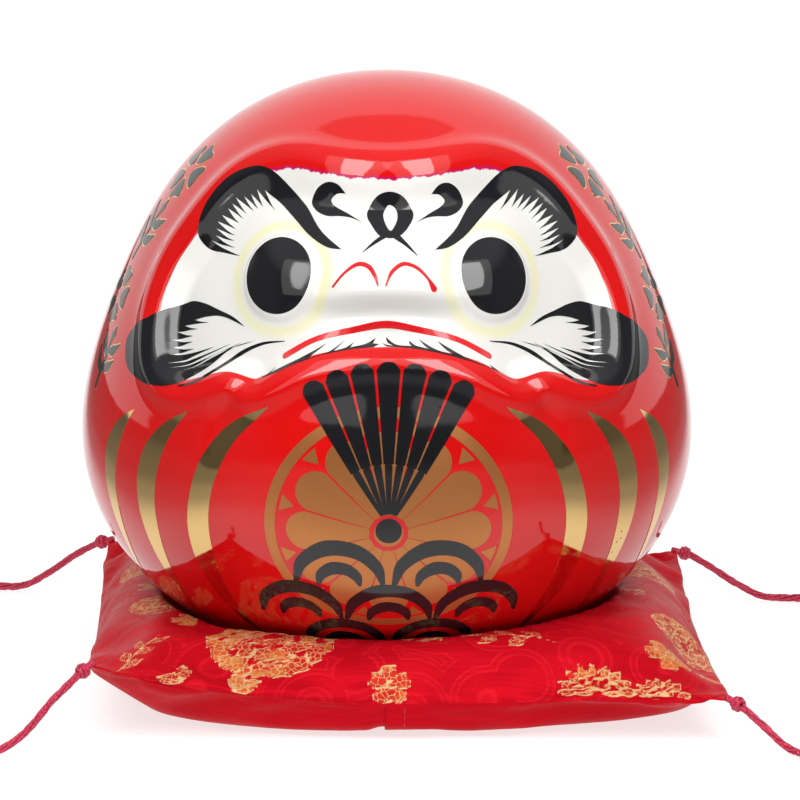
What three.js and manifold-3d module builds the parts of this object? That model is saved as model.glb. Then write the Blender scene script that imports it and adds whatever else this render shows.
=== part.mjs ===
// A glazed ceramic daruma doll on its brocade cushion.
// Millimetres, +Z up. The origin is on the floor, under the doll's own axis, and the doll faces -Y.
import * as THREE from "three";
import { mergeVertices } from "three/addons/utils/BufferGeometryUtils.js";
import Module from "manifold-3d";

const wasm = await Module();
wasm.setup();

// ---- Driving dimensions of the doll ----
const CENTRE_Z = 102;                    // height of the widest ring, which the body's radii start from
const SERIES = [122.8, 22.2, -0.6, 4.8, 1.4, -0.9, -0.8]; // radius as a cosine series of the angle from the top
const CHART_R = 125;                     // radius that turns an angle from straight ahead into mm on the front
const WALL = 6;                          // thickness of the slip-cast wall
const FOOT_Z = 15;                       // where the foot ring stands on the pressed cushion
const FOOT_IN_R = 45;                    // inside radius of the foot ring
const RECESS_Z = 20;                     // underside of the base, inside the foot ring
const HOLE_R = 21;                       // hole in the base
const SLOT = { length: 40, width: 6, y: 60, top: 250, bottom: 205 }; // coin slot at the back of the crown
const AROUND = 40;                       // facets around the body
const OUTER_STEPS = 24;                  // facets from the top down to the foot, outside
const INNER_STEPS = 12;                  // and inside

// ---- Relief of the face, in mm on the front chart (across, up from the widest ring) ----
const FACE_OUTLINE = [
  [0, 121], [-18, 123], [-40, 127], [-62, 124], [-84, 108], [-98, 93], [-105, 78], [-105, 58], [-98, 44],
  [-84, 40], [-66, 44], [-50, 43.5], [-38, 50], [-20, 55],
];
const FACE_DEPTH = 7;                    // how far the face lies behind the hood
const FACE_EDGE = 12;                    // width of the slope from the hood down to the face
const ROLL = { height: 2.5, out: 8, width: 6 };  // the rounded roll of the hood around the face
const BUMPS = [
  { u: -44, v: 84, ru: 17, rv: 18, height: 6 },  // left eye
  { u: 45, v: 84, ru: 17, rv: 18, height: 6 },   // right eye
  { u: 0, v: 84, ru: 20, rv: 12, height: 8 },    // nose
  { u: 0, v: 60, ru: 34, rv: 5, height: 3 },     // upper lip
];

// ---- Driving dimensions of the stopper ----
const STOPPER = { flangeR: 25, flangeT: 3, plugR: 20, tipR: 18.5, plugH: 12, flangeTop: 19.7 };

// ---- Driving dimensions of the cushion ----
const CORNERS = {                        // tips of the four corners: across, back, up
  front_left: [-116, -122, 32],
  front_right: [135, -122, 18],
  back_left: [-123, 125, 28],
  back_right: [127.5, 125, 23],
};
const SEAM_Z = 16;                       // height of the seam at the middle of a side
const PULL = 0.035;                      // how far the sides are drawn in between the corners
const LOFT_UP = 31;                      // how far the unpressed cushion would rise over its seam
const LOFT_DOWN = 26;
const CLOTH = 0.8;                       // thickness of a panel with its turned edge
const GAP = 0.3;                         // gap between touching pieces
const LAYER_GAP = 0.6;                   // gap between one layer of the cushion and the next
const FOOT_GAP = 0.5;                    // gap between the foot ring and the cloth under it
const FLANK_GAP = 2.8;                   // the same beside the foot, where facets cut across the round body
const OVERLAP = { edge: -4, tuck: 28 };  // the right base panel starts at edge; the left one runs on to tuck
const CUSHION_STEPS = 24;

// ---- Driving dimensions of the knots and tassels ----
const KNOT_R = 3.4;
const TASSEL_R = 1.9;
const TASSEL_STEPS = 12;
const TASSEL_ROUTES = {                  // from the knot outwards
  front_left: [[-122, -127.5, 28], [-131, -131, 19], [-141, -136, 8], [-151, -141, 2.6], [-162, -147, 2.2],
    [-169, -152, 2.2]],
  front_right: [[140.5, -127.5, 16], [148, -133, 9.5], [156, -140, 3.6], [166, -150, 2.2], [176, -159, 2.2],
    [182, -164, 2.2]],
  back_left: [[-129, 128, 26], [-139, 132, 19.5], [-150, 137, 11], [-162, 142, 3.8], [-173, 147, 2.2],
    [-179, 150, 2.2]],
  back_right: [[133.5, 125.5, 21.5], [143, 125.5, 15.5], [154, 125, 8.5], [165, 124.5, 3], [177, 124, 2.2],
    [187, 123, 2.2]],
};

// ---- Colours ----
const RED_GLAZE = new THREE.MeshStandardMaterial({ color: 0xd01414, roughness: 0.08, metalness: 0 });
const SOFT_PLUG = new THREE.MeshStandardMaterial({ color: 0xd9d6cf, roughness: 0.6, metalness: 0 });
const BROCADE = new THREE.MeshStandardMaterial({ color: 0xb8101c, roughness: 0.45, metalness: 0 });
const SATIN = new THREE.MeshStandardMaterial({ color: 0xc81020, roughness: 0.4, metalness: 0 });
const WADDING = new THREE.MeshStandardMaterial({ color: 0xf0ede6, roughness: 0.95, metalness: 0 });
const THREAD = new THREE.MeshStandardMaterial({ color: 0xb01c38, roughness: 0.6, metalness: 0 });

// ---- Small helpers ----
const clamp = (x, low, high) => Math.min(high, Math.max(low, x));

function smooth(x) {
  const t = clamp(x, 0, 1);
  return t * t * (3 - 2 * t);
}

/** A geometry with only positions, its shared vertices merged and its collapsed triangles dropped. */
function welded(geometry) {
  const bare = geometry.index ? geometry : geometry.clone();
  bare.deleteAttribute("normal");
  bare.deleteAttribute("uv");
  const merged = mergeVertices(bare, 1e-4);
  const kept = [];
  const index = merged.index.array;
  for (let i = 0; i < index.length; i += 3) {
    const [a, b, c] = [index[i], index[i + 1], index[i + 2]];
    if (a !== b && b !== c && c !== a) kept.push(a, b, c);
  }
  merged.setIndex(kept);
  return merged;
}

function asSolid(geometry) {
  const bare = welded(geometry);
  return new wasm.Manifold(new wasm.Mesh({
    numProp: 3,
    vertProperties: new Float32Array(bare.attributes.position.array),
    triVerts: new Uint32Array(bare.index.array),
  }));
}

function asGeometry(solid) {
  const mesh = solid.getMesh();
  const geometry = new THREE.BufferGeometry();
  geometry.setAttribute("position", new THREE.BufferAttribute(mesh.vertProperties, 3));
  geometry.setIndex(new THREE.BufferAttribute(mesh.triVerts, 1));
  geometry.computeVertexNormals();
  return geometry;
}

function named(name, geometry, material) {
  const mesh = new THREE.Mesh(geometry, material);
  mesh.name = name;
  return mesh;
}

// ---- The body's surface ----
/** Distance of the plain body from its centre, at an angle from straight up. */
const bodyRadius = (angle) => SERIES.reduce((sum, c, k) => sum + c * Math.cos(k * angle), 0);

/** Place on the front chart of a direction from the body's centre. */
function chart(direction) {
  const angle = Math.acos(clamp(-direction.y, -1, 1));
  const scale = (angle * CHART_R) / Math.max(1e-9, Math.hypot(direction.x, direction.z));
  return new THREE.Vector2(direction.x * scale, direction.z * scale);
}

function faceOutline() {
  const left = FACE_OUTLINE.map(([u, v]) => new THREE.Vector3(u, v, 0));
  const right = FACE_OUTLINE.slice(1).reverse().map(([u, v]) => new THREE.Vector3(-u, v, 0));
  const bottom = new THREE.Vector3(0, 56, 0);
  return new THREE.CatmullRomCurve3([...left, bottom, ...right], true, "centripetal").getPoints(160);
}

const OUTLINE = faceOutline();

/** Depth inside the face's outline, negative outside it. */
function faceDepth(p) {
  let inside = false;
  let nearest = Infinity;
  for (let i = 0; i + 1 < OUTLINE.length; i += 1) {
    const a = OUTLINE[i];
    const b = OUTLINE[i + 1];
    const along = clamp(((p.x - a.x) * (b.x - a.x) + (p.y - a.y) * (b.y - a.y))
      / Math.max(1e-9, (b.x - a.x) ** 2 + (b.y - a.y) ** 2), 0, 1);
    nearest = Math.min(nearest, Math.hypot(p.x - a.x - along * (b.x - a.x), p.y - a.y - along * (b.y - a.y)));
    const crosses = (a.y > p.y) !== (b.y > p.y);
    if (crosses && p.x < a.x + ((p.y - a.y) / (b.y - a.y)) * (b.x - a.x)) inside = !inside;
  }
  return inside ? nearest : -nearest;
}

/** Height of the modelling over the plain body, at a place on the front chart. */
function relief(p) {
  const depth = faceDepth(p);
  let height = -FACE_DEPTH * smooth((depth + 3) / FACE_EDGE);
  height += ROLL.height * Math.exp(-(((depth + ROLL.out) / ROLL.width) ** 2));
  for (const bump of BUMPS) {
    height += bump.height * Math.exp(-(((p.x - bump.u) / bump.ru) ** 2) - ((p.y - bump.v) / bump.rv) ** 2);
  }
  return height;
}

/** Moves a turned shape's vertices out or in by the relief, where they lie above the foot. */
function addRelief(geometry) {
  const centre = new THREE.Vector3(0, 0, CENTRE_Z);
  const position = geometry.attributes.position;
  const vertex = new THREE.Vector3();
  for (let i = 0; i < position.count; i += 1) {
    vertex.fromBufferAttribute(position, i);
    if (vertex.z < CENTRE_Z) continue;
    const direction = vertex.clone().sub(centre).normalize();
    vertex.addScaledVector(direction, relief(chart(direction)));
    position.setXYZ(i, vertex.x, vertex.y, vertex.z);
  }
  return geometry;
}

/** The angle from straight up at which the body, less an inset, comes down to a height. */
function angleAtHeight(z, inset) {
  let [low, high] = [Math.PI / 2, Math.PI];
  for (let i = 0; i < 50; i += 1) {
    const middle = (low + high) / 2;
    const height = CENTRE_Z + (bodyRadius(middle) - inset) * Math.cos(middle);
    if (height > z) low = middle;
    else high = middle;
  }
  return low;
}

function arcPoints(inset, lowest, steps) {
  const last = angleAtHeight(lowest, inset);
  return Array.from({ length: steps + 1 }, (_, i) => {
    const angle = (last * i) / steps;
    const radius = bodyRadius(angle) - inset;
    return new THREE.Vector2(Math.max(0, radius * Math.sin(angle)), CENTRE_Z + radius * Math.cos(angle));
  });
}

function ceramicBody() {
  const outer = arcPoints(0, FOOT_Z + 2, OUTER_STEPS);
  const inner = arcPoints(WALL, RECESS_Z + WALL, INNER_STEPS).reverse();
  outer[0].x = 0;
  inner[inner.length - 1].x = 0;
  const footR = outer[outer.length - 1].x;
  const foot = [
    [footR - 2.5, FOOT_Z], [FOOT_IN_R + 1, FOOT_Z], [FOOT_IN_R, FOOT_Z + 1], [FOOT_IN_R, RECESS_Z],
    [HOLE_R, RECESS_Z], [HOLE_R, RECESS_Z + WALL],
  ].map(([r, z]) => new THREE.Vector2(r, z));
  const profile = [...outer, ...foot, ...inner].reverse();
  const turned = new THREE.LatheGeometry(profile, AROUND);
  turned.rotateX(Math.PI / 2);
  addRelief(turned);
  const cutter = new THREE.BoxGeometry(SLOT.length, SLOT.width, SLOT.top - SLOT.bottom);
  cutter.translate(0, SLOT.y, (SLOT.top + SLOT.bottom) / 2);
  return named("ceramic_body", asGeometry(asSolid(turned).subtract(asSolid(cutter))), RED_GLAZE);
}

function baseStopper() {
  const { flangeR, flangeT, plugR, tipR, plugH, flangeTop } = STOPPER;
  const low = flangeTop - flangeT;
  const profile = [
    [0, low], [flangeR - 0.8, low], [flangeR, low + 0.8], [flangeR, flangeTop], [plugR, flangeTop],
    [plugR, flangeTop + 4], [tipR, flangeTop + plugH], [tipR - 3, flangeTop + plugH],
    [tipR - 4, flangeTop + 2], [0, flangeTop + 2],
  ].map(([r, z]) => new THREE.Vector2(r, z));
  const geometry = new THREE.LatheGeometry(profile, 24);
  geometry.rotateX(Math.PI / 2);
  return named("base_stopper", asGeometry(asSolid(geometry)), SOFT_PLUG);
}

// ---- The cushion ----
/** The doll's lower half from the foot up to the widest ring. */
const UNDERSIDE = arcPoints(0, FOOT_Z, 120).filter((p) => p.y < CENTRE_Z).reverse();

/** Height of the doll's underside at a distance from its axis. */
function undersideHeight(r) {
  if (r <= UNDERSIDE[0].x) return FOOT_Z;
  const i = UNDERSIDE.findIndex((p) => p.x > r);
  if (i < 0) return Infinity;
  const [low, high] = [UNDERSIDE[i - 1], UNDERSIDE[i]];
  return low.y + ((high.y - low.y) * (r - low.x)) / (high.x - low.x);
}

/** Height that the doll presses the cloth down to, at a distance from its axis. */
function dentHeight(r) {
  const gap = FOOT_GAP + (FLANK_GAP - FOOT_GAP) * smooth(r / FOOT_IN_R - 0.1);
  return undersideHeight(r) - gap;
}

/** A corner-to-corner blend of one coordinate of the corner tips; a and b run from -1 to 1. */
function blended(k, a, b) {
  const { front_left, front_right, back_left, back_right } = CORNERS;
  return ((1 - b) * ((1 - a) * front_left[k] + (1 + a) * front_right[k])
    + (1 + b) * ((1 - a) * back_left[k] + (1 + a) * back_right[k])) / 4;
}

const MIDDLE = new THREE.Vector2(blended(0, 0, 0), blended(1, 0, 0));

const LAYER = CLOTH + LAYER_GAP;

/** How deep the filling lies: under one panel above the seam, and under two below it. */
const fillingInset = (side) => (side > 0 ? LAYER : 2 * LAYER);

/** A point of the cushion's skin, a given inset inside it; side is +1 above the seam and -1 below it. */
function skinPoint(a, b, side, inset) {
  const flat = new THREE.Vector2(blended(0, a, b), blended(1, a, b)).sub(MIDDLE);
  flat.x *= 1 - PULL * (1 - b * b);
  flat.y *= 1 - PULL * (1 - a * a);
  const shrink = 1 - inset / (CORNERS.front_right[0] - MIDDLE.x);
  flat.multiplyScalar(shrink).add(MIDDLE);
  const seam = SEAM_Z + (blended(2, a, b) - SEAM_Z) * a * a * b * b;
  const fullness = Math.sqrt(Math.max(0, 1 - a * a)) * Math.sqrt(Math.max(0, 1 - b * b));
  const edge = seam + (inset < fillingInset(side) ? side * GAP : 0);
  const z = side > 0
    ? Math.min(edge + LOFT_UP * fullness, dentHeight(flat.length()))
    : Math.max(edge - LOFT_DOWN * fullness, 0);
  const fade = Math.min(1, fullness * 4);
  return new THREE.Vector3(flat.x, flat.y, z - side * inset * fade);
}

/** A closed solid between an outer and an inner grid of the same size. */
function between(outer, inner) {
  const rows = outer.length;
  const columns = outer[0].length;
  const positions = [];
  const quad = (p, q, r, s) => {
    for (const v of [p, q, r, p, r, s]) positions.push(v.x, v.y, v.z);
  };
  for (let i = 0; i + 1 < rows; i += 1) {
    for (let j = 0; j + 1 < columns; j += 1) {
      quad(outer[i][j], outer[i + 1][j], outer[i + 1][j + 1], outer[i][j + 1]);
      quad(inner[i][j], inner[i][j + 1], inner[i + 1][j + 1], inner[i + 1][j]);
    }
  }
  for (let i = 0; i + 1 < rows; i += 1) {
    quad(outer[i][0], inner[i][0], inner[i + 1][0], outer[i + 1][0]);
    quad(outer[i][columns - 1], outer[i + 1][columns - 1], inner[i + 1][columns - 1], inner[i][columns - 1]);
  }
  for (let j = 0; j + 1 < columns; j += 1) {
    quad(outer[0][j], outer[0][j + 1], inner[0][j + 1], inner[0][j]);
    quad(outer[rows - 1][j], inner[rows - 1][j], inner[rows - 1][j + 1], outer[rows - 1][j + 1]);
  }
  const geometry = new THREE.BufferGeometry();
  geometry.setAttribute("position", new THREE.Float32BufferAttribute(positions, 3));
  return geometry;
}

/** Steps from one side to the other, closer together towards both edges. */
const spaced = (steps) => Array.from({ length: steps + 1 }, (_, i) => -Math.cos((Math.PI * i) / steps));

const grid = (across, back, pick) => across.map((a) => back.map((b) => pick(a, b)));

function asPiece(name, outer, inner, material) {
  return named(name, asGeometry(asSolid(between(outer, inner))), material);
}

/** Share across the cushion at which the middle row reaches a distance across. */
const acrossAt = (x) => (x - MIDDLE.x) / ((CORNERS.front_right[0] - MIDDLE.x) * (1 - PULL));

function cushion() {
  const all = spaced(CUSHION_STEPS);
  const split = acrossAt(OVERLAP.edge);
  const tuck = acrossAt(OVERLAP.tuck);
  const leftSide = all.filter((a) => a < split - 0.08);
  const leftAcross = [...leftSide, split - 0.06, split - 0.035, (split + tuck) / 2, tuck];
  const rightAcross = [split, ...all.filter((a) => a > split + 0.05)];
  const leftInset = (a) => (a > split - 0.05 ? LAYER : 0);
  return [
    asPiece("cushion_top_panel",
      grid(all, all, (a, b) => skinPoint(a, b, 1, 0)),
      grid(all, all, (a, b) => skinPoint(a, b, 1, CLOTH)), BROCADE),
    asPiece("cushion_filling",
      grid(all, all, (a, b) => skinPoint(a, b, 1, fillingInset(1))),
      grid(all, all, (a, b) => skinPoint(a, b, -1, fillingInset(-1))), WADDING),
    asPiece("cushion_base_panel_left",
      grid(leftAcross, all, (a, b) => skinPoint(a, b, -1, leftInset(a) + CLOTH)),
      grid(leftAcross, all, (a, b) => skinPoint(a, b, -1, leftInset(a))), SATIN),
    asPiece("cushion_base_panel_right",
      grid(rightAcross, all, (a, b) => skinPoint(a, b, -1, CLOTH)),
      grid(rightAcross, all, (a, b) => skinPoint(a, b, -1, 0)), SATIN),
  ];
}

function cornerKnot(corner) {
  const tip = new THREE.Vector3(...CORNERS[corner]);
  const start = new THREE.Vector3(...TASSEL_ROUTES[corner][0]);
  const away = start.clone().sub(tip).normalize();
  const centre = tip.clone().addScaledVector(away, KNOT_R + GAP);
  const geometry = new THREE.SphereGeometry(KNOT_R, 12, 8);
  geometry.translate(centre.x, centre.y, centre.z);
  return named(`corner_knot_${corner}`, asGeometry(asSolid(geometry)), THREAD);
}

function tassel(corner) {
  const tip = new THREE.Vector3(...CORNERS[corner]);
  const points = TASSEL_ROUTES[corner].map((p) => new THREE.Vector3(...p));
  const away = points[0].clone().sub(tip).normalize();
  points[0].copy(tip).addScaledVector(away, 2 * (KNOT_R + GAP));
  const route = new THREE.CatmullRomCurve3(points, false, "centripetal");
  const section = new THREE.Shape();
  for (let i = 0; i < 8; i += 1) {
    const turn = (Math.PI / 4) * (i + 0.5);
    const rim = [TASSEL_R * Math.cos(turn), TASSEL_R * Math.sin(turn)];
    if (i === 0) section.moveTo(...rim);
    else section.lineTo(...rim);
  }
  const geometry = new THREE.ExtrudeGeometry(section, { steps: TASSEL_STEPS, extrudePath: route });
  return named(`tassel_${corner}`, asGeometry(asSolid(geometry)), THREAD);
}

const daruma = new THREE.Group();
daruma.add(ceramicBody(), baseStopper(), ...cushion());
for (const corner of Object.keys(CORNERS)) {
  daruma.add(cornerKnot(corner), tassel(corner));
}

export default daruma;
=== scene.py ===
"""A glazed ceramic daruma doll on its tasselled brocade cushion, laid out as a Blender add-on.

Lengths are in millimetres in the shape functions, and become metres when a mesh is made.
The front chart is a flat map of the doll's front: across and up from straight ahead, in mm of arc.
"""

import math

import bpy
import numpy as np
from mathutils.geometry import delaunay_2d_cdt
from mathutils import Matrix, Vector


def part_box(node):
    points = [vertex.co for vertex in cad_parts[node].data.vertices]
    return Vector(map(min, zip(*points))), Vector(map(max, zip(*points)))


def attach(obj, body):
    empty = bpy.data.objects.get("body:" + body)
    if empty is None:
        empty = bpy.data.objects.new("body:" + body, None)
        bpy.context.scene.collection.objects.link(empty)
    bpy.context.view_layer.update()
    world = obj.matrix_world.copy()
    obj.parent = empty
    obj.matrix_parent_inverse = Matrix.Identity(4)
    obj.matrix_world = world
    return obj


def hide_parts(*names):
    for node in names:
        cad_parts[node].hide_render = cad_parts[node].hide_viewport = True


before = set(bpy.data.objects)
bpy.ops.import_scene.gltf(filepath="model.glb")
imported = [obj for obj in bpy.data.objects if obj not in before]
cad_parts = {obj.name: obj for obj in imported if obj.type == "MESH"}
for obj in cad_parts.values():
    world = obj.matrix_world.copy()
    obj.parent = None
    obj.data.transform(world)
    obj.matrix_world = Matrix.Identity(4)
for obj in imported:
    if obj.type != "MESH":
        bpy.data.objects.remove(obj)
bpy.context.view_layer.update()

bl_info = {
    "name": "Daruma Doll",
    "version": (1, 0, 0),
    "blender": (4, 5, 0),
    "location": "View3D > Sidebar > Daruma",
    "description": "Builds a glazed daruma doll on a brocade cushion around its CAD frame",
    "category": "Add Mesh",
}

MM = 0.001


# ---- Sizes and colours that a user would change ----

class DollSettings(bpy.types.PropertyGroup):
    """Sizes and colours of the doll's painting."""
    decal_lift: bpy.props.FloatProperty(
        name="Decal lift", description="How far a fired decal stands over the glaze",
        default=0.00014, unit="LENGTH")
    slot_length: bpy.props.FloatProperty(
        name="Slot length", description="Length of the coin slot", default=0.04, unit="LENGTH")
    slot_width: bpy.props.FloatProperty(
        name="Slot width", description="Width of the coin slot", default=0.006, unit="LENGTH")
    petals: bpy.props.IntProperty(
        name="Petals", description="Petals of the rosette on the belly", default=12, min=5, max=24)
    red: bpy.props.FloatVectorProperty(
        name="Red glaze", description="Colour of the red glaze", subtype="COLOR", size=3,
        default=(0.68, 0.006, 0.006))
    white: bpy.props.FloatVectorProperty(
        name="White glaze", description="Colour of the face", subtype="COLOR", size=3,
        default=(0.80, 0.79, 0.75))
    gold: bpy.props.FloatVectorProperty(
        name="Bright gold", description="Colour of the liquid-gold stripes", subtype="COLOR", size=3,
        default=(0.72, 0.50, 0.22))


class CushionSettings(bpy.types.PropertyGroup):
    """Sizes and colours of the cushion."""
    cloth: bpy.props.FloatProperty(
        name="Cloth", description="Thickness of a panel with its turned edge", default=0.0008, unit="LENGTH")
    pressure: bpy.props.FloatProperty(
        name="Pressure", description="Push of the filling in the cloth simulation", default=0.9)
    spare: bpy.props.FloatProperty(
        name="Spare cloth", description="Share by which the cloth is cut larger than its place, which makes the folds",
        default=0.025)
    thread: bpy.props.FloatProperty(
        name="Thread", description="Thickness of one tassel thread", default=0.0011, unit="LENGTH")
    red: bpy.props.FloatVectorProperty(
        name="Satin red", description="Colour of the satin", subtype="COLOR", size=3,
        default=(0.50, 0.004, 0.012))
    peach: bpy.props.FloatVectorProperty(
        name="Gold thread", description="Colour of the woven outlines", subtype="COLOR", size=3,
        default=(0.78, 0.46, 0.22))
    crimson: bpy.props.FloatVectorProperty(
        name="Tassel crimson", description="Colour of the tassels", subtype="COLOR", size=3,
        default=(0.42, 0.008, 0.045))


# ---- The doll's shape ----

CENTRE = np.array([0.0, 0.0, 102.0])     # middle of the widest ring
SERIES = (122.8, 22.2, -0.6, 4.8, 1.4, -0.9, -0.8)  # radius as a cosine series of the angle from the top
CHART_R = 125.0                          # radius that turns an angle into mm on a chart
WALL = 6.0
FOOT_Z = 15.0
FOOT_IN_R = 45.0
RECESS_Z = 20.0
HOLE_R = 21.0
SLOT_Y = 60.0
FACE_HALF = [(0, 121.5), (-17.5, 123), (-46.5, 129), (-65, 124), (-86, 107), (-98.5, 93.5), (-105, 80),
             (-107, 70), (-106, 58), (-103, 49), (-97, 43.5), (-88, 41.5), (-67, 46), (-54, 43.5),
             (-48, 45.5), (-37.5, 50.5), (-21.5, 54.8), (0, 56.4)]
PUPIL = (45.8, 86.0, 15.0, 15.6, 10.0)   # across, up, half width, half height, lean in degrees
FOLD = [(-52, 47), (-58, 40), (-65, 32), (-70, 23), (-72, 14)]


def smooth(x):
    """An S-shaped step from 0 to 1 as x goes from 0 to 1."""
    t = np.clip(x, 0, 1)
    return t * t * (3 - 2 * t)


def smooth_line(points, closed=False, step=0.8):
    """A centripetal Catmull-Rom curve through the points, sampled about every step."""
    p = np.array(points, float)
    if closed:
        p = np.vstack([p[-1], p, p[:2]])
    elif len(p) == 2:
        count = max(1, int(np.linalg.norm(p[1] - p[0]) / step))
        return p[0] + (p[1] - p[0]) * np.linspace(0, 1, count + 1)[:, None]
    else:
        p = np.vstack([2 * p[0] - p[1], p, 2 * p[-1] - p[-2]])
    line = []
    for a, b, c, d in zip(p, p[1:], p[2:], p[3:]):
        knots = np.cumsum([0] + [max(1e-6, np.linalg.norm(y - x)) ** 0.5 for x, y in ((a, b), (b, c), (c, d))])
        count = max(1, round(np.linalg.norm(c - b) / step))
        t = np.linspace(knots[1], knots[2], count, endpoint=False)[:, None]
        a1 = a + (b - a) * t / knots[1]
        a2 = b + (c - b) * (t - knots[1]) / (knots[2] - knots[1])
        a3 = c + (d - c) * (t - knots[2]) / (knots[3] - knots[2])
        b1 = a1 + (a2 - a1) * t / knots[2]
        b2 = a2 + (a3 - a2) * (t - knots[1]) / (knots[3] - knots[1])
        line.append(b1 + (b2 - b1) * (t - knots[1]) / (knots[2] - knots[1]))
    line = np.vstack(line)
    return line if closed else np.vstack([line, p[-2]])


def mirrored(points, middle=0.0):
    return [(2 * middle - u, v) for u, v in points]


def segment_distance(p, line, closed):
    """Distance of each point to a line of points, and how often a ray from it crosses the line."""
    a = line if closed else line[:-1]
    b = np.roll(line, -1, axis=0) if closed else line[1:]
    ab = b - a
    inverse = 1 / np.maximum(1e-12, (ab ** 2).sum(1))
    nearest = np.empty(len(p))
    inside = np.zeros(len(p), bool)
    for i in range(0, len(p), 4000):
        q = p[i:i + 4000, None, :] - a[None]
        along = np.clip((q * ab).sum(2) * inverse, 0, 1)
        nearest[i:i + 4000] = np.sqrt(((q - along[..., None] * ab) ** 2).sum(2).min(1))
        y = p[i:i + 4000, None, 1]
        crosses = (a[:, 1] > y) != (b[:, 1] > y)
        slope = ab[:, 0] / np.where(ab[:, 1] == 0, 1e-9, ab[:, 1])
        left = p[i:i + 4000, None, 0] < a[:, 0] + (y - a[:, 1]) * slope
        inside[i:i + 4000] = (crosses & left).sum(1) % 2 == 1
    return nearest, inside


FACE_LINE = smooth_line(FACE_HALF + mirrored(FACE_HALF[-2:0:-1]), closed=True, step=2.0)
FOLD_LINE = smooth_line(FOLD, step=3.0)


def face_depth(uv):
    """Depth inside the face's outline, negative outside it, on the front chart."""
    depth = np.full(len(uv), -60.0)
    near = (np.abs(uv[:, 0]) < 150) & (uv[:, 1] > 0) & (uv[:, 1] < 180)
    distance, inside = segment_distance(uv[near], FACE_LINE, True)
    depth[near] = np.where(inside, distance, -distance)
    return depth


def past_pupil(uv):
    """Distance beyond the nearer pupil's edge, roughly, on the front chart."""
    across, up, half_w, half_h, lean = PUPIL
    nearest = np.full(len(uv), 1e3)
    for side in (-1, 1):
        turn = math.radians(lean) * side
        dx, dy = uv[:, 0] - side * across, uv[:, 1] - up
        x = dx * math.cos(turn) + dy * math.sin(turn)
        y = dy * math.cos(turn) - dx * math.sin(turn)
        nearest = np.minimum(nearest, (np.hypot(x / half_w, y / half_h) - 1) * (half_w + half_h) / 2)
    return nearest


def relief(uv):
    """Height of the modelling over the plain body, at places on the front chart."""
    u, v = uv[:, 0], uv[:, 1]
    depth = face_depth(uv)
    height = -7 * smooth((depth + 3) / 12) + 2.5 * np.exp(-((depth + 8) / 6) ** 2)
    for side in (-1, 1):
        height += 6 * np.exp(-((u - side * PUPIL[0]) / 17) ** 2 - ((v - PUPIL[1]) / 18) ** 2)
    height += 1.0 * smooth((2.9 - past_pupil(uv)) / 2.2)
    height += 10 * np.exp(-np.abs(u / 29) ** 2.6 - ((v - 77) / np.where(v > 77, 22, 6.5)) ** 2)
    lip = 67 - 0.0071 * u ** 2
    height += 1.6 * np.exp(-(u / 40) ** 4 - ((v - lip) / 3.2) ** 2)
    height -= 2.0 * np.exp(-(u / 31) ** 4 - ((v - 72) / 3.5) ** 2)
    folded = np.column_stack([-np.abs(u), v])
    near = (v > -10) & (v < 70) & (np.abs(u) < 100)
    fold = segment_distance(folded[near], FOLD_LINE, False)[0]
    height[near] -= 1.4 * np.exp(-(fold / 4.5) ** 2)
    return height


def body_radius(angle):
    """Distance of the plain body from its centre, at an angle from straight up."""
    return sum(c * np.cos(k * angle) for k, c in enumerate(SERIES))


def front_chart(d):
    """Places on the front chart of directions from the centre."""
    angle = np.arccos(np.clip(-d[:, 1], -1, 1))
    scale = angle * CHART_R / np.maximum(1e-9, np.hypot(d[:, 0], d[:, 2]))
    return np.column_stack([d[:, 0] * scale, d[:, 2] * scale])


def on_body(d, lift=0.0):
    """Points on the doll's outer surface in given directions from its centre."""
    radius = body_radius(np.arccos(np.clip(d[:, 2], -1, 1))) + relief(front_chart(d)) + lift
    return CENTRE + d * radius[:, None]


def chart_about(middle, up):
    """A flat chart of the doll around a direction: a function from (across, up) to directions."""
    middle = np.array(middle, float) / np.linalg.norm(middle)
    up = np.array(up, float) - np.dot(up, middle) * middle
    up /= np.linalg.norm(up)
    across = np.cross(up, middle)

    def directions(uv):
        q = np.maximum(1e-9, np.hypot(uv[:, 0], uv[:, 1]))[:, None]
        turn = q / CHART_R
        return np.cos(turn) * middle + np.sin(turn) * (uv[:, :1] * across + uv[:, 1:] * up) / q
    return directions


FRONT = chart_about((0, -1, 0), (0, 0, 1))


# ---- Mesh helpers ----

def new_object(name, data):
    obj = bpy.data.objects.new(name, data)
    bpy.context.scene.collection.objects.link(obj)
    return obj


def mesh_object(name, points, faces, material=None, sharp=None):
    """A mesh object from points in mm; edges turning by more than sharp degrees stay sharp."""
    mesh = bpy.data.meshes.new(name)
    mesh.from_pydata((np.asarray(points) * MM).tolist(), [], [list(map(int, f)) for f in faces])
    mesh.polygons.foreach_set("use_smooth", [True] * len(mesh.polygons))
    if sharp is not None:
        mesh.set_sharp_from_angle(angle=math.radians(sharp))
    mesh.update()
    obj = new_object(name, mesh)
    if material:
        mesh.materials.append(material)
    return obj


def add_attribute(obj, name, values):
    attribute = obj.data.attributes.new(name, "FLOAT", "POINT")
    attribute.data.foreach_set("value", np.asarray(values, np.float32))


def add_uv(obj, uv):
    """A UV map from one (u, v) for each vertex."""
    mesh = obj.data
    layer = mesh.uv_layers.new(name="cloth")
    index = np.empty(len(mesh.loops), int)
    mesh.loops.foreach_get("vertex_index", index)
    layer.data.foreach_set("uv", np.asarray(uv, np.float32)[index].ravel())


def settle(obj):
    """Replaces an object's mesh by its evaluated one and removes its modifiers."""
    bpy.context.view_layer.update()
    evaluated = obj.evaluated_get(bpy.context.evaluated_depsgraph_get())
    mesh = bpy.data.meshes.new_from_object(evaluated)
    obj.modifiers.clear()
    obj.data = mesh
    return obj


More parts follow.
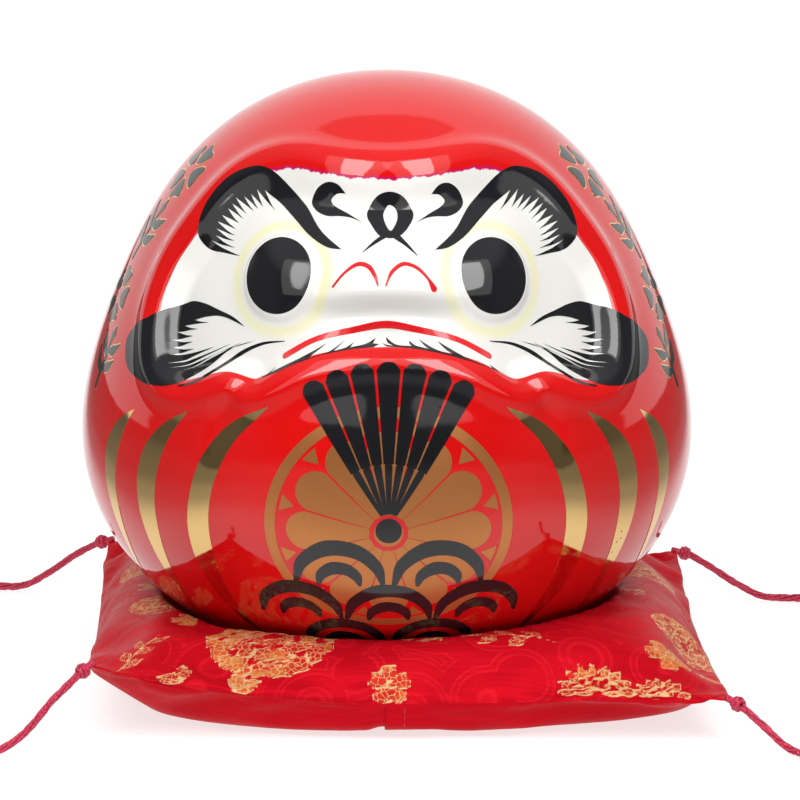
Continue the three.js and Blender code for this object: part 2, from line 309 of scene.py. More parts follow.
def grid_faces(rows, columns, wrap=False, start=0):
    """Quads of a grid whose vertices run row by row."""
    faces = []
    for i in range(rows - 1):
        for j in range(columns if wrap else columns - 1):
            k = (j + 1) % columns
            faces.append((start + i * columns + j, start + i * columns + k,
                          start + (i + 1) * columns + k, start + (i + 1) * columns + j))
    return faces


def lathe(name, profile, columns, material, sharp=35):
    """A closed turned solid; the profile of (radius, height) runs from the axis to the axis."""
    profile = np.array(profile, float)
    turn = np.linspace(0, 2 * math.pi, columns, endpoint=False)
    rings = profile[1:-1]
    points = [(0, 0, profile[0, 1])]
    for r, z in rings:
        points += [(r * math.cos(t), r * math.sin(t), z) for t in turn]
    points.append((0, 0, profile[-1, 1]))
    faces = [f[::-1] for f in grid_faces(len(rings), columns, wrap=True, start=1)]
    last = len(points) - 1
    for j in range(columns):
        k = (j + 1) % columns
        faces.append((0, 1 + k, 1 + j))
        faces.append((last, last - columns + j, last - columns + k))
    if profile[0, 1] < profile[-1, 1]:
        faces = [f[::-1] for f in faces]
    return mesh_object(name, points, faces, material, sharp)


def tube_parts(path, radius, sides=8, start=0):
    """Points and faces of a closed round tube along a path."""
    path = np.asarray(path, float)
    radius = np.broadcast_to(radius, len(path))
    tangent = np.gradient(path, axis=0)
    tangent /= np.maximum(1e-9, np.linalg.norm(tangent, axis=1))[:, None]
    side = np.cross(tangent[0], (0, 0, 1) if abs(tangent[0][2]) < 0.9 else (1, 0, 0))
    points = []
    for p, t, r in zip(path, tangent, radius):
        side = side - np.dot(side, t) * t
        side /= np.linalg.norm(side)
        other = np.cross(t, side)
        for k in range(sides):
            angle = 2 * math.pi * k / sides
            points.append(p + r * (math.cos(angle) * side + math.sin(angle) * other))
    faces = grid_faces(len(path), sides, wrap=True, start=start)
    last = start + (len(path) - 1) * sides
    faces.append(tuple(start + k for k in reversed(range(sides))))
    faces.append(tuple(last + k for k in range(sides)))
    return points, faces


def tubes_object(name, paths, radii, sides, material):
    """One mesh of several tubes."""
    points, faces = [], []
    for path, radius in zip(paths, radii):
        p, f = tube_parts(path, radius, sides, len(points))
        points += p
        faces += f
    return mesh_object(name, points, faces, material)


# ---- Flat shapes for decals and woven flowers ----

def outline(*strokes, step=0.6):
    """A closed outline of smooth strokes; each ends where the next starts, with a sharp corner there."""
    return np.vstack([smooth_line(s, step=step)[:-1] for s in strokes])


def brush(points, widths, step=0.7, tip=0.12):
    """A brush stroke along a line, as wide as widths says at each of its points."""
    line = smooth_line(points, step=step)
    at = np.concatenate([[0], np.cumsum(np.linalg.norm(np.diff(line, axis=0), axis=1))])
    stops = [at[np.argmin(np.linalg.norm(line - p, axis=1))] for p in np.array(points, float)]
    half = np.maximum(np.interp(at, stops, widths) / 2, tip)
    tangent = np.gradient(line, axis=0)
    tangent /= np.linalg.norm(tangent, axis=1)[:, None]
    normal = np.column_stack([-tangent[:, 1], tangent[:, 0]])

    def cap(i, direction):
        """A half round at one end."""
        if half[i] < 0.3:
            return np.empty((0, 2))
        turns = np.linspace(0, math.pi, 7)[1:-1]
        return np.array([line[i] + half[i] * (normal[i] * math.cos(t) * direction
                                              + tangent[i] * math.sin(t) * direction) for t in turns])
    left = line + normal * half[:, None]
    right = line - normal * half[:, None]
    return np.vstack([left, cap(-1, 1), right[::-1], cap(0, -1)])


def teeth(notches, tips, pinch=0.3):
    """A row of thin curved spikes: notch, tip, notch, tip; the strokes between them bow inwards."""
    strokes = []
    for i, tip in enumerate(tips):
        base = np.array(notches[i], float)
        after = np.array(notches[i + 1] if i + 1 < len(notches) else notches[i], float)
        tip = np.array(tip, float)
        axis = ((base + after) / 2 + tip) / 2
        up = (base + tip) / 2
        down = (after + tip) / 2
        strokes.append([tuple(base), tuple(up + pinch * (axis - up)), tuple(tip)])
        if i + 1 < len(notches):
            strokes.append([tuple(tip), tuple(down + pinch * (axis - down)), tuple(after)])
    return strokes


def polar(radius, degrees, middle=(0, 0)):
    """Points at angles clockwise from straight up."""
    a = np.radians(np.atleast_1d(degrees))
    return np.column_stack([middle[0] + radius * np.sin(a), middle[1] + radius * np.cos(a)])


def placed(shape, scale, degrees, middle):
    """A flat shape scaled, turned anticlockwise and moved."""
    a = math.radians(degrees)
    turn = np.array([[math.cos(a), math.sin(a)], [-math.sin(a), math.cos(a)]])
    return np.asarray(shape) * scale @ turn + np.array(middle, float)


def resampled(line, step):
    """A closed line with its long pieces cut to about step, and its corners kept."""
    after = np.roll(line, -1, axis=0)
    out = []
    for a, b in zip(line, after):
        gap = np.linalg.norm(b - a)
        if gap < 0.05:
            continue
        count = max(1, int(math.ceil(gap / step)))
        out += [a + (b - a) * k / count for k in range(count)]
    return np.array(out)


def filled(outlines, grid):
    """Triangles that fill closed outlines, with holes where one lies in another."""
    outlines = [resampled(o, grid * 0.7) for o in outlines]
    rim = np.vstack(outlines)
    edges = []
    start = 0
    for o in outlines:
        edges += [(start + i, start + (i + 1) % len(o)) for i in range(len(o))]
        start += len(o)

    def odd(p):
        inside = np.zeros(len(p), bool)
        for o in outlines:
            inside ^= segment_distance(p, o, True)[1]
        return inside
    low, high = rim.min(0), rim.max(0)
    rows = np.arange(low[1], high[1], grid * 0.87)
    lattice = [(x + (grid / 2 if i % 2 else 0), y)
               for i, y in enumerate(rows) for x in np.arange(low[0], high[0], grid)]
    lattice = np.array(lattice).reshape(-1, 2)
    if len(lattice):
        clear = np.full(len(lattice), np.inf)
        for o in outlines:
            clear = np.minimum(clear, segment_distance(lattice, o, True)[0])
        lattice = lattice[(clear > grid * 0.45) & odd(lattice)]
    points = [tuple(p) for p in np.vstack([rim, lattice])]
    verts, _, faces, *_ = delaunay_2d_cdt(points, edges, [], 0, 1e-5)
    verts = np.array([tuple(v) for v in verts])
    faces = np.array([tuple(f) for f in faces if len(f) == 3])
    faces = faces[odd(verts[faces].mean(1))]
    corner = verts[faces]
    area = np.cross(corner[:, 1] - corner[:, 0], corner[:, 2] - corner[:, 0])
    faces = faces[np.abs(area) > 1e-7]
    area = area[np.abs(area) > 1e-7]
    faces[area < 0] = faces[area < 0][:, ::-1]
    return verts, faces


def decal(name, outlines, material, chart=FRONT, lift=None, sink=0.3, grid=1.8):
    """A thin closed skin on the doll's glaze, in the shape of flat outlines on a chart."""
    lift = bpy.context.scene.daruma_doll.decal_lift / MM if lift is None else lift
    points, faces = [], []
    for group in outlines:
        flat, triangles = filled(group if isinstance(group, list) else [group], grid)
        directions = chart(flat)
        start = len(points)
        count = len(flat)
        points += list(on_body(directions, lift)) + list(on_body(directions, -sink))
        uses = {}
        for a, b, c in triangles:
            faces.append((start + a, start + b, start + c))
            faces.append((start + count + c, start + count + b, start + count + a))
            for edge in ((a, b), (b, c), (c, a)):
                uses[edge] = uses.get(edge, 0) + 1
        for a, b in uses:
            if (b, a) not in uses:
                faces.append((start + b, start + a, start + count + a, start + count + b))
    obj = mesh_object(name, points, faces, material, sharp=40)
    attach(obj, "doll")
    return obj


# ---- Shader helpers ----

class Sheet:
    """A node tree being filled: short calls for the nodes that the materials use."""

    def __init__(self, tree):
        self.tree = tree

    def add(self, kind, inputs=None, **settings):
        node = self.tree.nodes.new(kind)
        for key, value in settings.items():
            setattr(node, key, value)
        for key, value in (inputs or {}).items():
            self.put(node.inputs[key], value)
        return node

    def put(self, socket, value):
        """Links a socket or sets a plain value."""
        if isinstance(value, bpy.types.NodeSocket):
            self.tree.links.new(value, socket)
        elif hasattr(value, "__len__") and len(value) == 3 and socket.type == "RGBA":
            socket.default_value = (*value, 1)
        else:
            socket.default_value = value

    def math(self, operation, a, b=0.0, c=0.0):
        node = self.add("ShaderNodeMath", {0: a, 1: b, 2: c}, operation=operation)
        return node.outputs[0]

    def step(self, value, low, high, start=0.0, end=1.0):
        """A smooth step of a value from start at low to end at high."""
        node = self.add("ShaderNodeMapRange",
                        {"Value": value, "From Min": low, "From Max": high, "To Min": start, "To Max": end},
                        interpolation_type="SMOOTHSTEP")
        return node.outputs["Result"]

    def mix(self, factor, a, b):
        node = self.add("ShaderNodeMix", data_type="RGBA")
        self.put(node.inputs[0], factor)
        self.put(node.inputs[6], a)
        self.put(node.inputs[7], b)
        return node.outputs[2]

    def noise(self, vector, scale, detail=2.0, roughness=0.5):
        node = self.add("ShaderNodeTexNoise",
                        {"Vector": vector, "Scale": scale, "Detail": detail, "Roughness": roughness})
        return node.outputs["Fac"]

    def attribute(self, name):
        return self.add("ShaderNodeAttribute", attribute_name=name).outputs["Fac"]

    def place(self, output="Object"):
        return self.add("ShaderNodeTexCoord").outputs[output]

    def group(self, tree, inputs):
        node = self.add("ShaderNodeGroup", node_tree=tree)
        for key, value in inputs.items():
            self.put(node.inputs[key], value)
        return node


def new_group(name, inputs, outputs):
    """A shader node group with named float or vector inputs and outputs."""
    tree = bpy.data.node_groups.new(name, "ShaderNodeTree")
    for key, default in inputs.items():
        kind = "NodeSocketVector" if default is None else "NodeSocketFloat"
        socket = tree.interface.new_socket(key, in_out="INPUT", socket_type=kind)
        if default is not None:
            socket.default_value = default
    for key in outputs:
        tree.interface.new_socket(key, in_out="OUTPUT", socket_type="NodeSocketFloat")
    sheet = Sheet(tree)
    return sheet, sheet.add("NodeGroupInput").outputs, sheet.add("NodeGroupOutput").inputs


def glaze_group():
    """Orange peel, pinholes and a slow pooling of the colour in a fired glaze."""
    if "Fired glaze" in bpy.data.node_groups:
        return bpy.data.node_groups["Fired glaze"]
    s, given, result = new_group("Fired glaze", {"Vector": None, "Ripple": 60.0, "Pinholes": 0.5},
                                 ["Height", "Pooling", "Gloss"])
    ripple = s.noise(given["Vector"], given["Ripple"], 1.0)
    cells = s.add("ShaderNodeTexVoronoi", {"Vector": given["Vector"], "Scale": 90.0})
    hole = s.step(cells.outputs["Distance"], 0.02, 0.05, 1.0, 0.0)
    rare = s.math("GREATER_THAN", s.noise(given["Vector"], 40.0), 0.66)
    hole = s.math("MULTIPLY", s.math("MULTIPLY", hole, rare), given["Pinholes"])
    s.put(result["Height"], s.math("SUBTRACT", ripple, hole))
    s.put(result["Pooling"], s.noise(given["Vector"], 9.0, 3.0))
    s.put(result["Gloss"], s.noise(given["Vector"], 25.0, 2.0))
    return s.tree


def weave_group():
    """Crossing threads of a cloth, from its own flat coordinates in metres."""
    if "Woven threads" in bpy.data.node_groups:
        return bpy.data.node_groups["Woven threads"]
    s, given, result = new_group("Woven threads", {"Vector": None, "Threads": 2400.0, "Float": 4.0},
                                 ["Height", "Slub"])
    flat = s.add("ShaderNodeSeparateXYZ", {0: given["Vector"]}).outputs
    across = s.math("MULTIPLY", flat["X"], given["Threads"])
    along = s.math("MULTIPLY", flat["Y"], given["Threads"])
    warp = s.math("SINE", s.math("MULTIPLY", across, math.tau))
    passing = s.math("ADD", s.math("DIVIDE", along, given["Float"]), s.math("MULTIPLY", s.math("FLOOR", across), 0.4))
    weft = s.math("SINE", s.math("MULTIPLY", passing, math.tau))
    s.put(result["Height"], s.math("ADD", s.math("MULTIPLY", warp, 0.35), s.math("MULTIPLY", weft, 0.25)))
    stretched = s.add("ShaderNodeMapping", {"Vector": given["Vector"], "Scale": (40, 900, 1)})
    s.put(result["Slub"], s.noise(stretched.outputs[0], 1.0, 3.0))
    return s.tree


def new_material(name):
    """A material with an empty Principled shader: the sheet of its tree and the shader."""
    material = bpy.data.materials.new(name)
    material.use_nodes = True
    s = Sheet(material.node_tree)
    return material, s, material.node_tree.nodes["Principled BSDF"]


def bump(s, shader, height, distance, strength=1.0):
    node = s.add("ShaderNodeBump", {"Height": height, "Distance": distance, "Strength": strength})
    s.put(shader.inputs["Normal"], node.outputs["Normal"])


def glaze_paint():
    """Red glaze with the white face, its ragged magenta edge and yellow eye rings, and a bare foot."""
    doll = bpy.context.scene.daruma_doll
    material, s, shader = new_material("Red and white glaze")
    place = s.place()
    glaze = s.group(glaze_group(), {"Vector": place, "Ripple": 55.0, "Pinholes": 0.4}).outputs
    height = s.add("ShaderNodeSeparateXYZ", {0: place}).outputs["Z"]
    depth = s.attribute("face_depth")
    upper = s.step(height, 0.19, 0.2)
    ragged = s.math("MULTIPLY", s.math("SUBTRACT", s.noise(place, 260.0, 4.0, 0.7), 0.5), 3.2)
    calm = s.math("MULTIPLY", s.math("SUBTRACT", s.noise(place, 60.0), 0.5), 0.5)
    edge = s.math("ADD", depth, s.math("ADD", calm, s.math("MULTIPLY", ragged, upper)))
    white = s.step(edge, -0.15, 0.15)
    fringe = s.math("MULTIPLY", s.step(s.math("ADD", depth, s.math("MULTIPLY", ragged, 0.6)), -0.9, -0.5), upper)
    ring = s.attribute("past_pupil")
    halo = s.math("MULTIPLY", s.step(ring, 3.0, 6.0), s.step(ring, 6.8, 10.6, 1.0, 0.0))
    halo = s.math("MULTIPLY", halo, s.step(glaze["Pooling"], 0.3, 0.6, 0.45, 0.85))
    red = s.mix(s.step(glaze["Pooling"], 0.35, 0.65), tuple(doll.red), tuple(c * 0.9 for c in doll.red))
    pale = s.mix(s.step(glaze["Gloss"], 0.3, 0.7), tuple(doll.white), tuple(c * 0.965 for c in doll.white))
    pale = s.mix(halo, pale, (0.80, 0.77, 0.42))
    colour = s.mix(fringe, red, (0.55, 0.004, 0.10))
    colour = s.mix(white, colour, pale)
    bare = s.attribute("bare")
    speckle = s.noise(place, 700.0, 3.0)
    clay = s.mix(s.step(speckle, 0.4, 0.7), (0.62, 0.58, 0.50), (0.52, 0.47, 0.40))
    s.put(shader.inputs["Base Color"], s.mix(bare, colour, clay))
    gloss = s.step(glaze["Gloss"], 0.3, 0.7, 0.035, 0.065)
    s.put(shader.inputs["Roughness"], s.math("ADD", gloss, s.math("MULTIPLY", bare, 0.6)))
    shader.inputs["IOR"].default_value = 1.52
    bump(s, shader, s.math("ADD", glaze["Height"], s.math("MULTIPLY", s.math("MULTIPLY", speckle, bare), 3.0)),
         0.00005)
    return material


def decal_paint(name, colour, roughness=0.06, metal=0.0, mottle=0.08, ripple=70.0):
    """A fired decal: one colour with a slight mottle, as glossy as the glaze under it."""
    material, s, shader = new_material(name)
    glaze = s.group(glaze_group(), {"Vector": s.place(), "Ripple": ripple, "Pinholes": 0.3}).outputs
    dark = tuple(c * (1 - 2 * mottle) for c in colour)
    s.put(shader.inputs["Base Color"], s.mix(s.step(glaze["Pooling"], 0.35, 0.65), colour, dark))
    s.put(shader.inputs["Roughness"], s.step(glaze["Gloss"], 0.3, 0.7, roughness, roughness * 1.5))
    shader.inputs["Metallic"].default_value = metal
    bump(s, shader, glaze["Height"], 0.00005)
    return material


def worn_gold_paint():
    """Liquid gold with a few tiny breaks through which the red glaze shows."""
    doll = bpy.context.scene.daruma_doll
    material, s, shader = new_material("Liquid gold")
    place = s.place()
    glaze = s.group(glaze_group(), {"Vector": place, "Ripple": 60.0, "Pinholes": 0.2}).outputs
    spots = s.add("ShaderNodeTexVoronoi", {"Vector": place, "Scale": 240.0}).outputs["Distance"]
    worn = s.math("GREATER_THAN", s.noise(place, 38.0, 2.0), 0.64)
    break_ = s.math("MULTIPLY", s.step(spots, 0.10, 0.14, 1.0, 0.0), worn)
    gold = s.mix(s.step(glaze["Pooling"], 0.35, 0.65), tuple(doll.gold), (0.64, 0.42, 0.17))
    s.put(shader.inputs["Base Color"], s.mix(break_, gold, (0.2, 0.05, 0.02)))
    s.put(shader.inputs["Metallic"], s.math("SUBTRACT", 1.0, break_))
    s.put(shader.inputs["Roughness"], s.step(glaze["Gloss"], 0.3, 0.7, 0.05, 0.1))
    bump(s, shader, glaze["Height"], 0.00005)
    return material


def brocade_cloth():
    """Red jacquard satin: tone-on-tone rings, and woven flowers from the cloth's own measures."""
    cushion = bpy.context.scene.daruma_cushion
    material, s, shader = new_material("Brocade")
    flat = s.place("UV")
    weave = s.group(weave_group(), {"Vector": flat, "Threads": 1500.0, "Float": 5.0}).outputs
    cells = s.add("ShaderNodeTexVoronoi", {"Vector": flat, "Scale": 34.0, "Randomness": 0.8})
    ring = s.math("SINE", s.math("MULTIPLY", cells.outputs["Distance"], 26.0))
    swirl = s.math("MULTIPLY", s.step(ring, 0.2, 0.6), s.step(ring, 0.75, 0.95, 1.0, 0.2))
    line = s.attribute("flower_line")
    inside = s.attribute("flower_fill")
    fray = s.math("MULTIPLY", s.math("SUBTRACT", s.noise(flat, 1600.0, 2.0), 0.5), 0.7)
    thread = s.step(s.math("ADD", line, fray), 0.22, 0.46, 1.0, 0.0)
    filling = s.step(s.math("ADD", inside, fray), 0.2, 0.5)
    lace = s.add("ShaderNodeTexVoronoi", {"Vector": flat, "Scale": 420.0}, feature="DISTANCE_TO_EDGE")
    laced = s.math("MULTIPLY", s.step(lace.outputs["Distance"], 0.035, 0.085, 0.7, 0.0), filling)
    thread = s.math("MAXIMUM", thread, laced)
    patch = s.step(s.noise(flat, 34.0), 0.47, 0.56, 0.12, 0.8)
    filling = s.math("MULTIPLY", filling, patch)
    ribs = s.step(weave["Slub"], 0.35, 0.65)
    base = s.mix(swirl, tuple(cushion.red), tuple(min(1, c * 1.25 + 0.004) for c in cushion.red))
    streak = s.math("MULTIPLY", s.step(weave["Slub"], 0.3, 0.7), 0.5)
    base = s.mix(streak, base, tuple(c * 0.72 for c in cushion.red))
    orange = s.mix(ribs, (0.62, 0.16, 0.03), (0.70, 0.30, 0.06))
    peach = s.mix(ribs, tuple(cushion.peach), tuple(c * 0.78 for c in cushion.peach))
    colour = s.mix(s.math("MULTIPLY", filling, 0.75), base, orange)
    s.put(shader.inputs["Base Color"], s.mix(thread, colour, peach))
    rough = s.step(swirl, 0.0, 1.0, 0.38, 0.5)
    s.put(shader.inputs["Roughness"], s.math("ADD", rough, s.math("MULTIPLY", thread, 0.1)))
    shader.inputs["Metallic"].default_value = 0.14
    shader.inputs["Specular IOR Level"].default_value = 0.06
    shader.inputs["Specular Tint"].default_value = (0.5, 0.05, 0.06, 1)
    raised = s.math("ADD", s.math("MULTIPLY", weave["Height"], 0.3), s.math("MULTIPLY", thread, 1.6))
    raised = s.math("ADD", raised, s.math("MULTIPLY", swirl, 0.25))
    bump(s, shader, raised, 0.00012, 0.8)
    return material


def satin_cloth():
    """Plain red satin of the base panels."""
    cushion = bpy.context.scene.daruma_cushion
    material, s, shader = new_material("Plain satin")
    flat = s.place("UV")
    weave = s.group(weave_group(), {"Vector": flat, "Threads": 2000.0, "Float": 5.0}).outputs
    light = tuple(min(1, c * 1.12) for c in cushion.red)
    s.put(shader.inputs["Base Color"], s.mix(s.step(weave["Slub"], 0.3, 0.7), light, tuple(c * 0.85 for c in light)))
    s.put(shader.inputs["Roughness"], s.step(s.noise(flat, 30.0), 0.3, 0.7, 0.36, 0.46))
    shader.inputs["Metallic"].default_value = 0.14
    shader.inputs["Specular IOR Level"].default_value = 0.06
    shader.inputs["Specular Tint"].default_value = (0.5, 0.05, 0.06, 1)
    bump(s, shader, s.math("ADD", weave["Height"], s.math("MULTIPLY", weave["Slub"], 0.5)), 0.00008, 0.7)
    return material


def thread_cloth(name, colour, twist=1400.0):
    """Twisted shiny thread."""
    material, s, shader = new_material(name)
    place = s.place()
    turned = s.add("ShaderNodeMapping", {"Vector": place, "Rotation": (0.6, 0.5, 0.8)}).outputs[0]
    stripes = s.add("ShaderNodeTexWave", {"Vector": turned, "Scale": twist / 6, "Distortion": 2.0}).outputs["Fac"]
    fleck = s.noise(place, 900.0, 3.0)
    shade = s.mix(s.step(fleck, 0.35, 0.7), colour, tuple(min(1, c * 1.7 + 0.01) for c in colour))
    s.put(shader.inputs["Base Color"], s.mix(s.math("MULTIPLY", stripes, 0.4), shade, tuple(c * 0.6 for c in colour)))
    s.put(shader.inputs["Roughness"], s.step(fleck, 0.3, 0.7, 0.38, 0.55))
    shader.inputs["Sheen Weight"].default_value = 0.12
    shader.inputs["Sheen Tint"].default_value = (1.0, 0.6, 0.7, 1)
    bump(s, shader, stripes, 0.0002, 0.8)
    return material


def soft_plastic():
    """Soft translucent-looking stopper plastic with a mould grain."""
    material, s, shader = new_material("Soft stopper")
    place = s.place()
    grain = s.noise(place, 900.0, 4.0)
    s.put(shader.inputs["Base Color"], s.mix(s.step(s.noise(place, 60.0), 0.3, 0.7), (0.74, 0.72, 0.66), (0.68, 0.65, 0.58)))
    s.put(shader.inputs["Roughness"], s.step(grain, 0.3, 0.7, 0.42, 0.55))
    bump(s, shader, grain, 0.00006, 0.6)
    return material


def wadding_cloth():
    """Loose white fibres."""
    material, s, shader = new_material("Wadding")
    place = s.place()
    fibre = s.noise(s.add("ShaderNodeMapping", {"Vector": place, "Scale": (1, 4, 1)}).outputs[0], 320.0, 6.0, 0.7)
    s.put(shader.inputs["Base Color"], s.mix(s.step(fibre, 0.3, 0.7), (0.86, 0.84, 0.79), (0.74, 0.71, 0.65)))
    s.put(shader.inputs["Roughness"], s.step(fibre, 0.3, 0.7, 0.9, 1.0))
    shader.inputs["Sheen Weight"].default_value = 0.5
    bump(s, shader, fibre, 0.0012, 0.8)
    return material


def material(name, make, *values):
    """The material of that name, made once."""
    found = bpy.data.materials.get(name)
    return found if found else make(*values)


def black_paint():
    return material("Black decal", decal_paint, "Black decal", (0.012, 0.012, 0.014), 0.06)


def brush_red_paint():
    return material("Brush red", decal_paint, "Brush red", (0.70, 0.012, 0.018), 0.08)


def gold_paint():
    return material("Liquid gold", worn_gold_paint)


def crest_gold_paint():
    return material("Crest gold", decal_paint, "Crest gold", (0.52, 0.19, 0.055), 0.26, 0.6, 0.05)


# ---- The stage ----

def area_light(name, azimuth, elevation, distance, size, radiance, target):
    """A soft box that faces the target; azimuth is from the doll's front towards +X."""
    a, e = math.radians(azimuth), math.radians(elevation)
    offset = np.array([math.sin(a) * math.cos(e), -math.cos(a) * math.cos(e), math.sin(e)]) * distance
    data = bpy.data.lights.new(name, "AREA")
    data.shape = "RECTANGLE"
    data.size, data.size_y = size
    data.energy = radiance * math.pi * size[0] * size[1]
    obj = new_object(name, data)
    obj.location = np.array(target) + offset
    obj.rotation_euler = (math.pi / 2 - e, 0, a)
    return obj


class DARUMA_OT_stage(bpy.types.Operator):
    """Camera, pale floor and soft studio light"""
    bl_idname = "daruma.stage"
    bl_label = "Stage"

    focal_mm: bpy.props.FloatProperty(name="Focal length", default=218.2)
    distance: bpy.props.FloatProperty(name="Distance", default=2.0, unit="LENGTH")
    elevation: bpy.props.FloatProperty(name="Elevation", default=math.radians(10.7), subtype="ANGLE")

    def execute(self, context):
        scene = context.scene
        data = bpy.data.cameras.new("camera")
        data.lens = self.focal_mm
        data.sensor_width = 36
        data.clip_end = 40
        camera = new_object("camera", data)
        target = np.array([0.0054, 0, 0.11456])
        lift = self.elevation
        camera.location = target + self.distance * np.array([0, -math.cos(lift), math.sin(lift)])
        camera.rotation_euler = (math.pi / 2 - lift, 0, 0)
        scene.camera = camera
        scene.view_settings.view_transform = "Standard"
        self.make_floor()
        self.make_sky(scene)
        middle = (0, 0, 0.12)
        for side, azimuth in (("left", -26), ("right", 28)):
            area_light(f"soft_box_{side}", azimuth, 38, 1.5, (1.0, 1.4), 1.2, middle)
            area_light(f"soft_box_{side}_heart", azimuth, 42, 1.45, (0.40, 0.95), 7.0, middle)
        return {"FINISHED"}

    def make_floor(self):
        half = 9000
        corners = [(-half, -half, 0), (half, -half, 0), (half, half, 0), (-half, half, 0)]
        paper, s, shader = new_material("Pale floor")
        place = s.place()
        spot = s.add("ShaderNodeSeparateXYZ", {0: place}).outputs
        back = s.math("MAXIMUM", spot["Y"], 0.0)
        aside = s.math("SUBTRACT", s.math("ABSOLUTE", spot["X"]), s.math("MULTIPLY", back, 0.25))
        # Emission makes the floor glow white around and behind the doll: a painted pool of light, as the floor is no
        # lamp.
        near = s.math("MULTIPLY", s.step(spot["Y"], -0.3, -0.17, 0.0, 1.0), s.step(aside, 0.18, 0.32, 1.0, 0.0))
        lit = s.math("MULTIPLY", s.step(spot["Y"], -0.48, -0.3, 0.0, 1.0), s.step(aside, 0.3, 0.5, 1.0, 0.0))
        grain = s.mix(s.noise(place, 3.0), (0.36, 0.36, 0.36), (0.38, 0.38, 0.38))
        # Outside the lit patch the floor's colour is darker: painted shade.
        s.put(shader.inputs["Base Color"], s.mix(lit, (0.2, 0.2, 0.2), grain))
        glow = s.math("MULTIPLY", near, s.step(spot["Y"], 0.0, 1.6, 0.72, 1.0))
        s.put(shader.inputs["Emission Color"], s.mix(glow, (0.0, 0.0, 0.0), (1.0, 1.0, 1.0)))
        shader.inputs["Emission Strength"].default_value = 1.0
        shader.inputs["Roughness"].default_value = 0.9
        floor = mesh_object("floor", np.array(corners) + [0, 0, -0.2], [(0, 1, 2, 3)], paper)

    def make_sky(self, scene):
        """A white surround behind and beside the doll, darker in front and overhead."""
        world = bpy.data.worlds.new("studio")
        scene.world = world
        world.use_nodes = True
        s = Sheet(world.node_tree)
        way = s.add("ShaderNodeSeparateXYZ", {0: s.place("Generated")}).outputs
        behind = s.math("SUBTRACT", s.math("MULTIPLY", way["Y"], 0.94), s.math("MULTIPLY", way["Z"], 0.342))
        bright = s.math("MAXIMUM", s.step(behind, 0.13, 0.2, 0.02, 1.1), s.step(way["Z"], 0.5, 0.85, 0.0, 0.5))
        bright = s.math("MAXIMUM", bright, s.step(s.math("ABSOLUTE", way["X"]), 0.55, 0.9, 0.0, 0.13))
        background = world.node_tree.nodes["Background"]
        s.put(background.inputs["Color"], (1.0, 1.0, 1.0))
        s.put(background.inputs["Strength"], bright)


# ---- The doll ----

def angle_at_height(z, inset):
    """Angle from the top at which the body, less an inset, comes down to a height."""
    low, high = math.pi / 2, math.pi
    for _ in range(50):
        middle = (low + high) / 2
        if CENTRE[2] + (body_radius(middle) - inset) * math.cos(middle) > z:
            low = middle
        else:
            high = middle
    return low


def body_profile(angles, inset):
    radius = body_radius(angles) - inset
    return np.column_stack([radius * np.sin(angles), CENTRE[2] + radius * np.cos(angles)])


